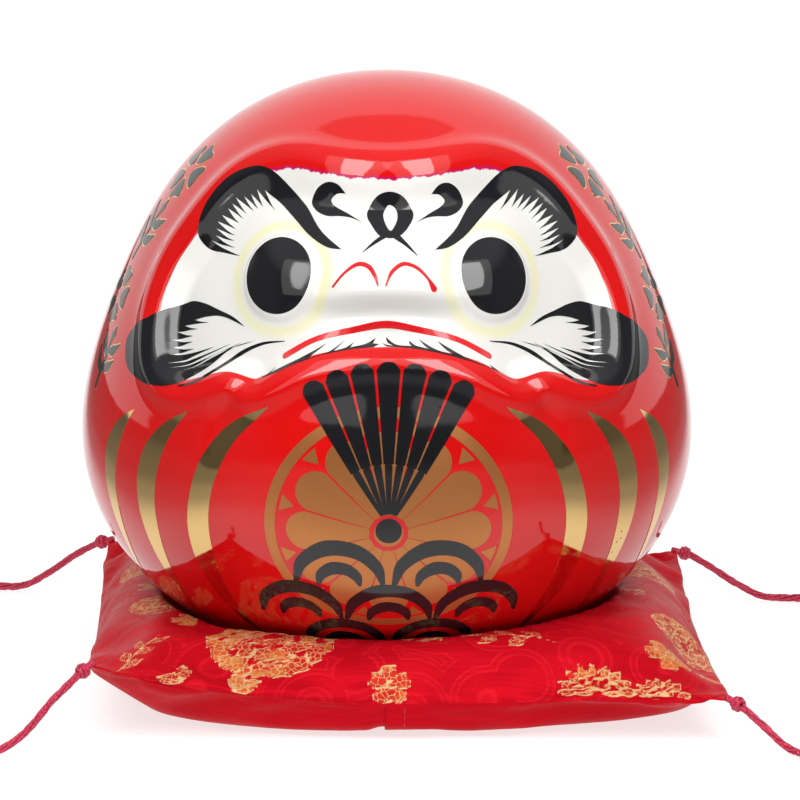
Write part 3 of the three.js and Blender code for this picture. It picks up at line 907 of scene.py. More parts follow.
class DARUMA_OT_body(bpy.types.Operator):
    """The hollow slip-cast body with its modelled face, foot ring, base hole and coin slot"""
    bl_idname = "daruma.body"
    bl_label = "Ceramic body"

    def execute(self, context):
        doll = context.scene.daruma_doll
        fine = math.radians(0.45)
        foot = angle_at_height(FOOT_Z + 2, 0)
        angles = np.concatenate([
            np.linspace(0, math.radians(24), 12)[1:-1],
            np.arange(math.radians(24), math.radians(86), fine),
            np.linspace(math.radians(86.5), foot, 34)])
        turns = np.radians(np.concatenate([np.arange(-62, 62, 0.45), np.linspace(62, 298, 100)[:-1]]))
        columns = len(turns)
        outer = body_profile(angles, 0)
        foot_r = outer[-1, 0]
        ring = [(foot_r - 0.9, FOOT_Z + 0.7), (foot_r - 2.6, FOOT_Z), (FOOT_IN_R + 2.2, FOOT_Z),
                (FOOT_IN_R + 0.6, FOOT_Z + 0.6), (FOOT_IN_R, FOOT_Z + 2), (FOOT_IN_R - 0.5, RECESS_Z - 0.6),
                (FOOT_IN_R - 1.6, RECESS_Z), (HOLE_R + 0.8, RECESS_Z), (HOLE_R, RECESS_Z + 0.8),
                (HOLE_R, RECESS_Z + WALL - 0.8), (HOLE_R + 0.8, RECESS_Z + WALL)]
        inner_end = angle_at_height(RECESS_Z + WALL, WALL)
        inner = body_profile(np.linspace(inner_end, 0, 22)[:-1], WALL)
        rings = np.vstack([outer, ring, inner])
        around = np.column_stack([np.sin(turns), -np.cos(turns)])
        grid = np.empty((len(rings), columns, 3))
        grid[..., :2] = rings[:, None, :1] * around
        grid[..., 2] = rings[:, 1:]
        moved = grid[:len(outer)].reshape(-1, 3) - CENTRE
        length = np.linalg.norm(moved, axis=1)[:, None]
        way = moved / length
        grid[:len(outer)] = (CENTRE + way * (length + relief(front_chart(way))[:, None])).reshape(len(outer), columns, 3)
        inner_way = (grid[-len(inner):].reshape(-1, 3) - CENTRE)
        inner_len = np.linalg.norm(inner_way, axis=1)[:, None]
        inner_way /= inner_len
        sunk = np.minimum(relief(front_chart(inner_way)), 0)[:, None]
        grid[-len(inner):] = (CENTRE + inner_way * (inner_len + sunk)).reshape(len(inner), columns, 3)
        top = [0, 0, CENTRE[2] + body_radius(0)]
        ceiling = [0, 0, CENTRE[2] + body_radius(0) - WALL]
        points = np.vstack([[top], grid.reshape(-1, 3), [ceiling]])
        faces = grid_faces(len(rings), columns, wrap=True, start=1)
        last = len(points) - 1
        faces = [f[::-1] for f in faces]
        for j in range(columns):
            k = (j + 1) % columns
            faces.append((0, 1 + j, 1 + k))
            faces.append((last, last - columns + k, last - columns + j))
        body = mesh_object("glazed_body", points, faces, material("Red and white glaze", glaze_paint))
        self.cut_slot(body, doll)
        self.mark(body)
        body.data.set_sharp_from_angle(angle=math.radians(50))
        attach(body, "doll")
        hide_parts("ceramic_body")
        return {"FINISHED"}

    def cut_slot(self, body, doll):
        """Cuts the coin slot with a rounded lip."""
        half_l, half_w = doll.slot_length / MM / 2, doll.slot_width / MM / 2
        end = half_l - half_w
        arc = np.radians(np.linspace(-90, 90, 9))
        capsule = np.vstack([
            np.column_stack([end + half_w * np.cos(arc), half_w * np.sin(arc)]),
            np.column_stack([-end - half_w * np.cos(arc), -half_w * np.sin(arc)])])
        outward = capsule - np.column_stack([np.clip(capsule[:, 0], -end, end), np.zeros(len(capsule))])
        outward /= np.linalg.norm(outward, axis=1)[:, None]
        layers = [(6, 1.6), (0.4, 1.2), (-0.2, 0.75), (-0.8, 0.35), (-1.6, 0.1), (-2.6, 0), (-26, 0)]
        points = []
        for height, flare in layers:
            flat = capsule + outward * flare + [0, SLOT_Y]
            points += [(x, y, self.top_height(x, y) + height) for x, y in flat]
        count = len(capsule)
        faces = [f[::-1] for f in grid_faces(len(layers), count, wrap=True)]
        faces.append(tuple(range(count)))
        faces.append(tuple(reversed(range(len(points) - count, len(points)))))
        cutter = mesh_object("slot_cutter", points, faces)
        cut = body.modifiers.new("slot", "BOOLEAN")
        cut.operation = "DIFFERENCE"
        cut.solver = "EXACT"
        cut.object = cutter
        settle(body)
        bpy.data.objects.remove(cutter)
        if len(body.data.vertices) < 1000:
            raise RuntimeError("the coin slot's cut emptied the body")

    def top_height(self, x, y):
        """Height of the outer surface over a place near the top."""
        r = math.hypot(x, y)
        low, high = 0.0, math.pi / 2
        for _ in range(40):
            middle = (low + high) / 2
            if body_radius(middle) * math.sin(middle) < r:
                low = middle
            else:
                high = middle
        return CENTRE[2] + body_radius(low) * math.cos(low)

    def mark(self, body):
        """Stores what the glaze needs: depth in the face, distance past the pupils, and bare clay."""
        mesh = body.data
        points = np.empty(len(mesh.vertices) * 3)
        mesh.vertices.foreach_get("co", points)
        points = points.reshape(-1, 3) / MM
        way = points - CENTRE
        length = np.linalg.norm(way, axis=1)
        way /= length[:, None]
        flat = front_chart(way)
        inside = length < body_radius(np.arccos(np.clip(way[:, 2], -1, 1))) + relief(flat) - 2.0
        bare = np.where(inside | (points[:, 2] < FOOT_Z + 0.9), 1.0, 0.0)
        add_attribute(body, "face_depth", np.where(inside, -60, face_depth(flat)))
        add_attribute(body, "past_pupil", np.where(inside, 60, past_pupil(flat)))
        add_attribute(body, "bare", bare)


# ---- The painted face ----

AXIS = 0.5                               # middle of the painting, a little right of the doll's own
BROW_BACK = [(-18.5, 95.5), (-28, 105), (-35.5, 117), (-43, 124.5), (-50.5, 129.2), (-58, 130.5), (-70, 127.3),
             (-80, 119), (-85.5, 110), (-86.7, 105), (-84.5, 102.2), (-78, 100.6), (-66.4, 97.2)]
BROW_NOTCHES = [(-54.6, 123.8), (-58, 123.8), (-61, 122.3), (-64.3, 121.4), (-67.9, 120.4), (-70, 118.4),
                (-72.1, 116.6), (-75.2, 114), (-77.8, 111.7), (-78.8, 109.3), (-79.8, 107), (-82, 105)]
BROW_TIPS = [(-50, 116), (-56.2, 118.3), (-58.7, 117.7), (-60.9, 117), (-64.3, 115.9), (-66.1, 114),
             (-68.4, 112.4), (-70, 110.1), (-70.3, 107.3), (-70.2, 104.6), (-69.7, 101.4)]
BROW_FRONT = [(-54.6, 123.8), (-48.6, 120), (-41, 112), (-32.2, 102.2), (-24.6, 97), (-18.5, 95.5)]
COMMA_BACK = [(-10.3, 107.8), (-15, 110), (-20, 111), (-26, 111.5), (-30.8, 114.4), (-32.6, 118), (-30.4, 121.3),
              (-25.5, 122.6), (-20.5, 121.4), (-17.3, 118.8)]
COMMA_FRONT = [(-17.3, 118.8), (-21.4, 119), (-23.8, 117.6), (-22.6, 115.8), (-16.5, 112), (-10.3, 107.8)]
KNOT_LOOP = [(-2, 100.8), (-5.8, 105.6), (-8.2, 111.5), (-5, 116.6), (1.2, 118.4), (8, 116.8), (11.6, 111.6),
             (9.4, 105.6), (4.6, 100.6)]
KNOT_HOLE = [(1.8, 103.6), (-0.6, 107.6), (-1.2, 111.6), (1, 114.8), (3.8, 113.8), (4.8, 110.6), (3.9, 106.6)]
BEARD_BACK = [(-62.8, 66.7), (-69, 71), (-77.3, 74.6), (-86, 78), (-94.6, 79.2), (-103.2, 75), (-113, 67.8),
              (-123, 65.2), (-129, 60), (-129, 53), (-125.5, 45.5), (-116, 40.4), (-106, 38.2), (-97, 38),
              (-90.5, 39.6)]
BEARD_FRONT = [(-91.2, 70.4), (-83.4, 71.8), (-75.4, 71.6), (-62.8, 66.7)]
BEARD_NOTCHES = [(-91.2, 70.4), (-97.3, 67.8), (-100.5, 64.6), (-102.1, 60.4), (-101.2, 56.8), (-101.5, 53.2),
                 (-101.3, 48.6), (-99.7, 46.4), (-96.1, 44.8)]
BEARD_TIPS = [(-82.7, 69.1), (-89, 66.2), (-91.7, 63), (-91.4, 60.3), (-90.5, 57), (-79, 57.9), (-70, 59.4),
              (-64.8, 59.9)]
BEARD_STRAND = [(-58.7, 60.4), (-67, 58.4), (-74.5, 54), (-81.5, 47), (-87.5, 41.6), (-90.5, 39.6)]
WHISKER = ([(-89.5, 38.6), (-81, 41), (-73.6, 47), (-65.5, 54.6), (-54.5, 59.2), (-43.6, 60.4)],
           [0.8, 1.6, 2.2, 1.9, 1.2, 0.3])
LIP = ([(-42.3, 54), (-30.4, 60.6), (-12, 65), (0, 66.7), (12, 65), (30.4, 60.6), (43.3, 54)],
       [3.4, 2.5, 2.4, 2.8, 2.4, 2.5, 3.4])
NOSTRIL_LEFT = ([(-21.5, 79.6), (-16.4, 85), (-11, 88), (-7, 86.6), (-4.4, 82.4), (-3.2, 78.6)],
                [0.9, 1.1, 1.9, 1.9, 1.5, 0.6])
NOSTRIL_RIGHT = ([(0, 78.7), (2.4, 84.2), (7, 87.8), (12, 86.6), (17, 82), (19.2, 78.6)],
                 [0.6, 1.4, 1.8, 1.5, 1.1, 2.6])
FRINGE_LEFT = [[(-54, 43.8), (-46, 45.4), (-37.5, 49), (-26.5, 52.8), (-14.5, 55.4), (-5, 56.4)],
               [(-5, 56.4), (-2.8, 58)], [(-2.8, 58), (-5.4, 58.4)], [(-5.4, 58.4), (-4.2, 61.4)],
               [(-4.2, 61.4), (-8, 58.4), (-14.4, 56.4)], [(-14.4, 56.4), (-13.1, 59.4)],
               [(-13.1, 59.4), (-16, 56.6), (-21, 54.8)], [(-21, 54.8), (-17.2, 60.2)],
               [(-17.2, 60.2), (-23, 54.6), (-31.5, 51.6)], [(-31.5, 51.6), (-24.6, 59)],
               [(-24.6, 59), (-35, 52), (-47.5, 46)], [(-47.5, 46), (-45.5, 48.6)],
               [(-45.5, 48.6), (-49, 45.6), (-54, 43.8)]]
FRINGE_RIGHT = [[(2, 56.6), (8, 56.2), (17.5, 54.6), (29, 51.8), (40, 48.4), (50, 45)],
                [(50, 45), (46.6, 46.4), (42.4, 49.4)], [(42.4, 49.4), (43, 47.6)],
                [(43, 47.6), (33, 51.6), (21.4, 60)], [(21.4, 60), (24, 56), (27, 53.2)],
                [(27, 53.2), (20, 55.6), (13.4, 61)], [(13.4, 61), (15.6, 57.4), (17, 55.8)],
                [(17, 55.8), (12, 57.4), (9.4, 60)], [(9.4, 60), (9.6, 58), (10.4, 57)],
                [(10.4, 57), (4, 57.8), (-0.2, 61.8)], [(-0.2, 61.8), (0.8, 58.6), (3, 57.2)],
                [(3, 57.2), (0.8, 57.4), (-1.5, 58.4)], [(-1.5, 58.4), (0.2, 56.8), (2, 56.6)]]


def both_sides(strokes, apart=0.0):
    """Strokes of the left side, and the same mirrored in the painting's middle, its inner end further out."""
    left = outline(*strokes)
    right = left.copy()
    right[:, 0] = 2 * AXIS - right[:, 0]
    right[:, 0] += apart * np.exp(-(right[:, 0] / 20) ** 2)
    return {"left": left, "right": right[::-1]}


class DARUMA_OT_face(bpy.types.Operator):
    """Fired black and red decals of the face: brows, pupils, beard, lip and nostrils"""
    bl_idname = "daruma.face"
    bl_label = "Painted face"

    def execute(self, context):
        black, red = black_paint(), brush_red_paint()
        brow = [BROW_BACK, [(-66.4, 97.2), (-75, 101.4), (-82, 105)]]
        brow += teeth(BROW_NOTCHES[::-1], BROW_TIPS[::-1]) + [BROW_FRONT]
        beard = [BEARD_BACK, BEARD_STRAND[::-1], [(-58.7, 60.4), (-77, 55), (-96.1, 44.8)]]
        beard += teeth(BEARD_NOTCHES[::-1], BEARD_TIPS[::-1]) + [BEARD_FRONT]
        whisker = brush(*WHISKER)
        for side, shape in both_sides(brow, 2.2).items():
            decal(f"brow_{side}", [shape], black, grid=1.4)
        for side, shape in both_sides([COMMA_BACK, COMMA_FRONT], 2.2).items():
            decal(f"inner_brow_{side}", [shape], black, grid=1.4)
        for side, shape in both_sides(beard).items():
            lower = whisker if side == "left" else np.column_stack([2 * AXIS - whisker[:, 0], whisker[:, 1]])
            decal(f"cheek_beard_{side}", [shape, lower], black, grid=1.4)
        across, up, half_w, half_h, lean = PUPIL
        for side, sign in (("left", -1), ("right", 1)):
            turn = np.radians(np.arange(0, 360, 4))
            ellipse = np.column_stack([half_w * np.cos(turn), half_h * np.sin(turn)])
            decal(f"pupil_{side}", [placed(ellipse, 1, lean * sign, (sign * across, up))], black, grid=1.4)
        loop = smooth_line(KNOT_LOOP, closed=True, step=0.5)
        hole = smooth_line(KNOT_HOLE, closed=True, step=0.5)
        tails = [brush([(-9.6, 93.4), (-5, 97.8), (-0.4, 101.4)], [0.2, 1.5, 2.2]),
                 brush([(12.8, 92), (8, 97.4), (3.4, 101.8)], [0.2, 1.7, 3.2])]
        decal("brow_knot", [[loop, hole], *tails], black, grid=1.2)
        decal("beard_fringe", [outline(*FRINGE_LEFT), outline(*FRINGE_RIGHT)], black, grid=1.2)
        decal("lip_line", [brush(*LIP)], red, grid=1.2)
        decal("nostril_lines", [brush(*NOSTRIL_LEFT), brush(*NOSTRIL_RIGHT)], red, grid=1.2)
        return {"FINISHED"}


# ---- Gold and black motifs on the body ----

STRIPES = {
    "inner": [[(-46.4, 32.2), (-62, 25.7), (-73, 16), (-81, 0), (-85.6, -20), (-84.8, -38), (-79.5, -58),
               (-69, -78), (-58.6, -91.6)],
              [(-58.6, -91.6), (-66, -76), (-71.4, -56), (-74.4, -36), (-74.5, -16), (-70.4, 1), (-61.5, 17.6),
               (-46.4, 32.2)]],
    "middle": [[(-83.6, 28.4), (-96.2, 22.6), (-107, 12.5), (-113, -1), (-114.6, -18), (-112.4, -36),
                (-107.5, -58), (-101.6, -82.8)],
               [(-101.6, -82.8), (-102.6, -58), (-103.8, -34), (-103.2, -12), (-99, 5.4), (-92, 19), (-83.6, 28.4)]],
    "outer": [[(-116.3, 26.5), (-127, 21), (-136.5, 9.5), (-140.6, -8), (-139.6, -26), (-137, -48), (-137, -76)],
              [(-137, -76), (-133, -50), (-132.2, -28), (-131.2, -8), (-126.8, 8), (-121.5, 19), (-116.3, 26.5)]],
}


class DARUMA_OT_stripes(bpy.types.Operator):
    """Liquid-gold crescents on the robe, three on each side"""
    bl_idname = "daruma.stripes"
    bl_label = "Gold stripes"

    def execute(self, context):
        for name, strokes in STRIPES.items():
            for side, shape in both_sides(strokes).items():
                decal(f"gold_stripe_{name}_{side}", [shape], gold_paint(), grid=2.2)
        return {"FINISHED"}


CREST = (1.0, -17.0)                     # middle of the rosette on the front chart
RING_OUT, RING_IN = 50.0, 45.6
PETAL_TIP, PETAL_BASE = 42.0, 7.6


def petal(middle_degrees, spread):
    """One round-ended petal between two radii, pointing away from the rosette's middle."""
    half = math.radians(spread / 2)
    shoulder = PETAL_TIP - PETAL_TIP * math.sin(half) * 0.9
    round_r = shoulder * math.tan(half)
    turn = np.radians(np.linspace(180, 0, 13))
    tip = [(round_r * math.cos(t), shoulder + round_r * math.sin(t)) for t in turn]
    base = PETAL_BASE * math.tan(half)
    shape = np.array([(-base, PETAL_BASE)] + tip + [(base, PETAL_BASE)])
    return placed(shape, 1, -middle_degrees, CREST)


class DARUMA_OT_crest(bpy.types.Operator):
    """A plain gold rosette in a ring on the belly, under the fan and the waves"""
    bl_idname = "daruma.crest"
    bl_label = "Rosette"

    def execute(self, context):
        count = context.scene.daruma_doll.petals
        each = 360 / count
        around = np.arange(0, 360, 2.5)
        ring = [polar(RING_OUT, around, CREST), polar(RING_IN, around, CREST)]
        shapes = [ring, polar(5.8, np.arange(0, 360, 15), CREST)]
        red_gap = 1.1 / PETAL_TIP * 57.3
        for i in range(count):
            shapes.append(petal(i * each, each - red_gap))
            between = (i + 0.5) * each
            wedge = np.vstack([polar(44.4, np.linspace(between - 4.6, between + 4.6, 5), CREST),
                               polar(38.6, [between], CREST)])
            shapes.append(wedge)
        decal("rosette", shapes, crest_gold_paint(), lift=0.1, grid=2.4)
        return {"FINISHED"}


def fan_shapes(pivot, count, spread, low, high):
    """An open folding fan: pleats with scalloped ends, sticks below them and a round pivot."""
    each = spread / count
    shapes = []
    for i in range(count):
        left = -spread / 2 + i * each + 0.55
        right = left + each - 1.1
        middle = (left + right) / 2
        top = polar(high, [left, left + 0.4], pivot)
        crown = polar(high + 2.6, [middle - each * 0.2, middle + each * 0.2], pivot)
        shapes.append(outline([*map(tuple, polar(low, [left], pivot)), *map(tuple, top[:1])],
                              [tuple(top[0]), tuple(crown[0]), tuple(crown[1]), tuple(polar(high, [right], pivot)[0])],
                              [tuple(polar(high, [right], pivot)[0]), tuple(polar(low, [right], pivot)[0])],
                              [tuple(polar(low, [right], pivot)[0]), tuple(polar(low - 0.4, [middle], pivot)[0]),
                               tuple(polar(low, [left], pivot)[0])]))
        start, end = polar(7.5, [middle * 0.8], pivot)[0], polar(low - 1.2, [middle], pivot)[0]
        shapes.append(brush([tuple(start), tuple((start + end) / 2), tuple(end)], [1.2, 2.2, 3.0]))
    shapes.append(polar(5.2, np.arange(0, 360, 15), pivot))
    return shapes


def wave_shapes():
    """Rows of thick brushed wave arcs, one inside another."""
    shapes = []
    rows = [(-42, (-19.5, 21.5)), (-63, (-38, 1, 40)), (-85, (-19.5, 21.5))]
    for v, middles in rows:
        for middle in middles:
            for radius, width in ((18.2, 6.4), (8.6, 5.6)):
                angles = (-88, -55, -15, 25, 60, 88)
                line = [tuple(p) for p in polar(radius, angles, (middle, v))]
                shapes.append(brush(line, [width * w for w in (0.35, 0.85, 1.1, 1.0, 0.8, 0.3)]))
    return shapes


class DARUMA_OT_belly(bpy.types.Operator):
    """Black fan and wave motifs over the rosette"""
    bl_idname = "daruma.belly"
    bl_label = "Fan and waves"

    def execute(self, context):
        decal("fan_motif", fan_shapes((1, -16), 7, 66, 27, 63), black_paint(), lift=0.24, grid=2.0)
        decal("wave_motif", wave_shapes(), black_paint(), lift=0.24, grid=2.0)
        return {"FINISHED"}


SIDE_PLACES = [(-101, 142), (-128, 117), (-149, 84), (-150, 50)]


def blossom(radius):
    """Five notched petals around a middle."""
    petals = []
    for i in range(5):
        a = i * 72
        petals.append(smooth_line([tuple(p) for p in np.vstack([
            polar(radius * 0.28, [a]), polar(radius * 0.62, [a - 26]), polar(radius * 0.95, [a - 21]),
            polar(radius * 0.86, [a]), polar(radius * 0.95, [a + 21]), polar(radius * 0.62, [a + 26])])],
            closed=True, step=0.6))
    return petals


def sprig(radius):
    """A stem with pairs of pointed leaves."""
    shapes = [brush([(0, -radius), (0.6, 0), (0, radius * 0.5)], [1.8, 1.8, 1.2])]
    for height, side in ((-0.5, -1), (-0.35, 1), (0.05, -1), (0.2, 1), (0.45, 0)):
        end = (side * radius * 0.8, radius * (height + 0.55))
        middle = (side * radius * 0.45, radius * (height + 0.18)) if side else (0, radius * 0.75)
        shapes.append(brush([(0, radius * height), middle, end], [1.4, 4.6, 0.4]))
    return shapes


def spread(shape, distance):
    """A closed outline moved outwards along its normals."""
    after, before = np.roll(shape, -1, axis=0), np.roll(shape, 1, axis=0)
    along = after - before
    normal = np.column_stack([along[:, 1], -along[:, 0]])
    normal /= np.maximum(1e-9, np.linalg.norm(normal, axis=1))[:, None]
    area = np.sum(shape[:, 0] * after[:, 1] - after[:, 0] * shape[:, 1])
    return shape + normal * (distance if area > 0 else -distance)


class DARUMA_OT_side_motifs(bpy.types.Operator):
    """Columns of black blossoms and sprigs with gold edges beside the face"""
    bl_idname = "daruma.side_motifs"
    bl_label = "Side motifs"

    def execute(self, context):
        for side, sign in (("left", 1), ("right", -1)):
            black, gold = [], []
            for i, (u, v) in enumerate(SIDE_PLACES):
                middle = FRONT(np.array([[u * sign, v]], float))[0]
                chart = chart_about(middle, (0, -0.25, 1))
                shapes = blossom(12.8) if i % 2 == 0 else sprig(13.4)
                black.append((chart, shapes))
                gold.append((chart, [spread(shape, 0.55) for shape in shapes]))
            self.painted(f"side_motif_gold_{side}", gold, gold_paint(), 0.08)
            self.painted(f"side_motif_black_{side}", black, black_paint(), 0.2)
        return {"FINISHED"}

    def painted(self, name, groups, paint, lift):
        """A decal for each of several motifs, each on a chart of its own and in a mesh of its own."""
        parts = [decal(f"{name}_{i}", shapes, paint, chart=chart, lift=lift, grid=1.8)
                 for i, (chart, shapes) in enumerate(groups)]
        return parts


class DARUMA_OT_stopper(bpy.types.Operator):
    """The soft stopper in the base hole, with a finger rim"""
    bl_idname = "daruma.stopper"
    bl_label = "Base stopper"

    def execute(self, context):
        low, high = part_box("base_stopper")
        bottom, top = low[2] / MM, high[2] / MM
        flange = (high[0] - low[0]) / MM / 2
        plug = HOLE_R - 1
        profile = [(0, bottom + 1.4), (9, bottom + 1.4), (10.5, bottom + 0.2), (12.5, bottom + 0.2),
                   (14, bottom + 1.2), (18, bottom + 1.2), (19.5, bottom), (flange - 1, bottom),
                   (flange - 0.2, bottom + 0.5), (flange, bottom + 1.4), (flange - 0.3, bottom + 2.6),
                   (flange - 1, bottom + 3), (plug + 0.6, bottom + 3), (plug - 0.2, bottom + 3.6),
                   (plug - 0.2, bottom + 5.4), (plug, bottom + 7.4), (plug, bottom + 8.4), (plug - 0.9, bottom + 11),
                   (plug - 1.8, top), (plug - 4.2, top), (plug - 5, top - 1), (plug - 5.2, bottom + 5.6),
                   (plug - 6.4, bottom + 5), (0, bottom + 5)]
        stopper = lathe("soft_stopper", profile, 96, material("Soft stopper", soft_plastic), sharp=30)
        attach(stopper, "stopper")
        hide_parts("base_stopper")
        return {"FINISHED"}


# ---- The cushion ----

CORNERS = ("front_left", "front_right", "back_left", "back_right")
TASSEL_ROUTES = {                        # from the knot outwards
    "front_left": [(-122, -127.5, 28), (-131, -131, 19), (-141, -136, 8), (-151, -141, 2.6), (-162, -147, 2.2),
                   (-169, -152, 2.2)],
    "front_right": [(140.5, -127.5, 16), (148, -133, 9.5), (156, -140, 3.6), (166, -150, 2.2), (176, -159, 2.2),
                    (182, -164, 2.2)],
    "back_left": [(-129, 128, 26), (-139, 132, 19.5), (-150, 137, 11), (-162, 142, 3.8), (-173, 147, 2.2),
                  (-179, 150, 2.2)],
    "back_right": [(133.5, 125.5, 21.5), (143, 125.5, 15.5), (154, 125, 8.5), (165, 124.5, 3), (177, 124, 2.2),
                   (187, 123, 2.2)],
}
KNOT_REACH = 3.7                         # from a corner's tip to the middle of its knot
SEAM_Z = 16.0
PULLS = {"left": -0.01, "right": 0.02, "front": 0.016, "back": 0.03}
LOFT_UP, LOFT_DOWN = 31.0, 26.0
FOOT_GAP, FLANK_GAP = 0.45, 1.2
LAYER = 1.4
OVERLAP_EDGE, OVERLAP_TUCK = -4.0, 28.0
CELLS = 72                               # cells of the simulated cloth along a side
MOST_MOVED = 9.0                         # cap on how far the simulation may move the cloth


def knot_place(corner):
    """Middle of a corner knot, the way that it points, and the cushion's tip behind it."""
    low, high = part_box(f"corner_knot_{corner}")
    middle = (np.array(low) + np.array(high)) / 2 / MM
    away = np.array(TASSEL_ROUTES[corner][0]) - middle
    away /= np.linalg.norm(away)
    return middle, away, middle - away * KNOT_REACH


TIPS = np.array([knot_place(corner)[2] for corner in CORNERS])


def blended(a, b):
    """A corner-to-corner blend of the tips; a runs across and b back, both from -1 to 1."""
    weights = np.stack([(1 - a) * (1 - b), (1 + a) * (1 - b), (1 - a) * (1 + b), (1 + a) * (1 + b)], -1) / 4
    return weights @ TIPS


MIDDLE = blended(np.zeros(1), np.zeros(1))[0]
HALF_WIDTH = TIPS[1][0] - MIDDLE[0]


def underside():
    """The doll's lower half as heights over distances from its axis."""
    angles = np.linspace(angle_at_height(FOOT_Z, 0), math.pi / 2, 200)
    profile = body_profile(angles, 0)
    return profile[:, 0], profile[:, 1]


UNDER_R, UNDER_Z = underside()


def dent(x, y):
    """Height that the doll presses the cloth down to."""
    r = np.hypot(x, y)
    gap = FOOT_GAP + (FLANK_GAP - FOOT_GAP) * smooth(r / FOOT_IN_R - 0.1)
    height = np.interp(r, UNDER_R, UNDER_Z) - gap
    return np.where(r > UNDER_R[-1], 1e3, height)


def fullness(a, b):
    return np.sqrt(np.clip(1 - a * a, 0, 1)) * np.sqrt(np.clip(1 - b * b, 0, 1))


def plain_skin(a, b, side):
    """The cushion's skin as the pattern gives it, pressed by the doll and the floor."""
    base = blended(a, b)
    pull_x = np.where(a < 0, PULLS["left"], PULLS["right"]) * np.abs(a)
    pull_y = np.where(b < 0, PULLS["front"], PULLS["back"]) * np.abs(b)
    x = (base[..., 0] - MIDDLE[0]) * (1 - pull_x * (1 - b * b)) + MIDDLE[0]
    y = (base[..., 1] - MIDDLE[1]) * (1 - pull_y * (1 - a * a)) + MIDDLE[1]
    seam = SEAM_Z + (base[..., 2] - SEAM_Z) * a * a * b * b
    if side > 0:
        z = np.minimum(seam + LOFT_UP * fullness(a, b), dent(x, y))
    else:
        z = np.maximum(seam - LOFT_DOWN * fullness(a, b), 0)
    return np.stack([x, y, z], -1)


def cosine_steps(count, low=-1.0, high=1.0):
    """Steps from one edge to the other, closer together towards the edges of the whole."""
    return -np.cos(np.linspace(math.acos(-low), math.acos(-high), count + 1))


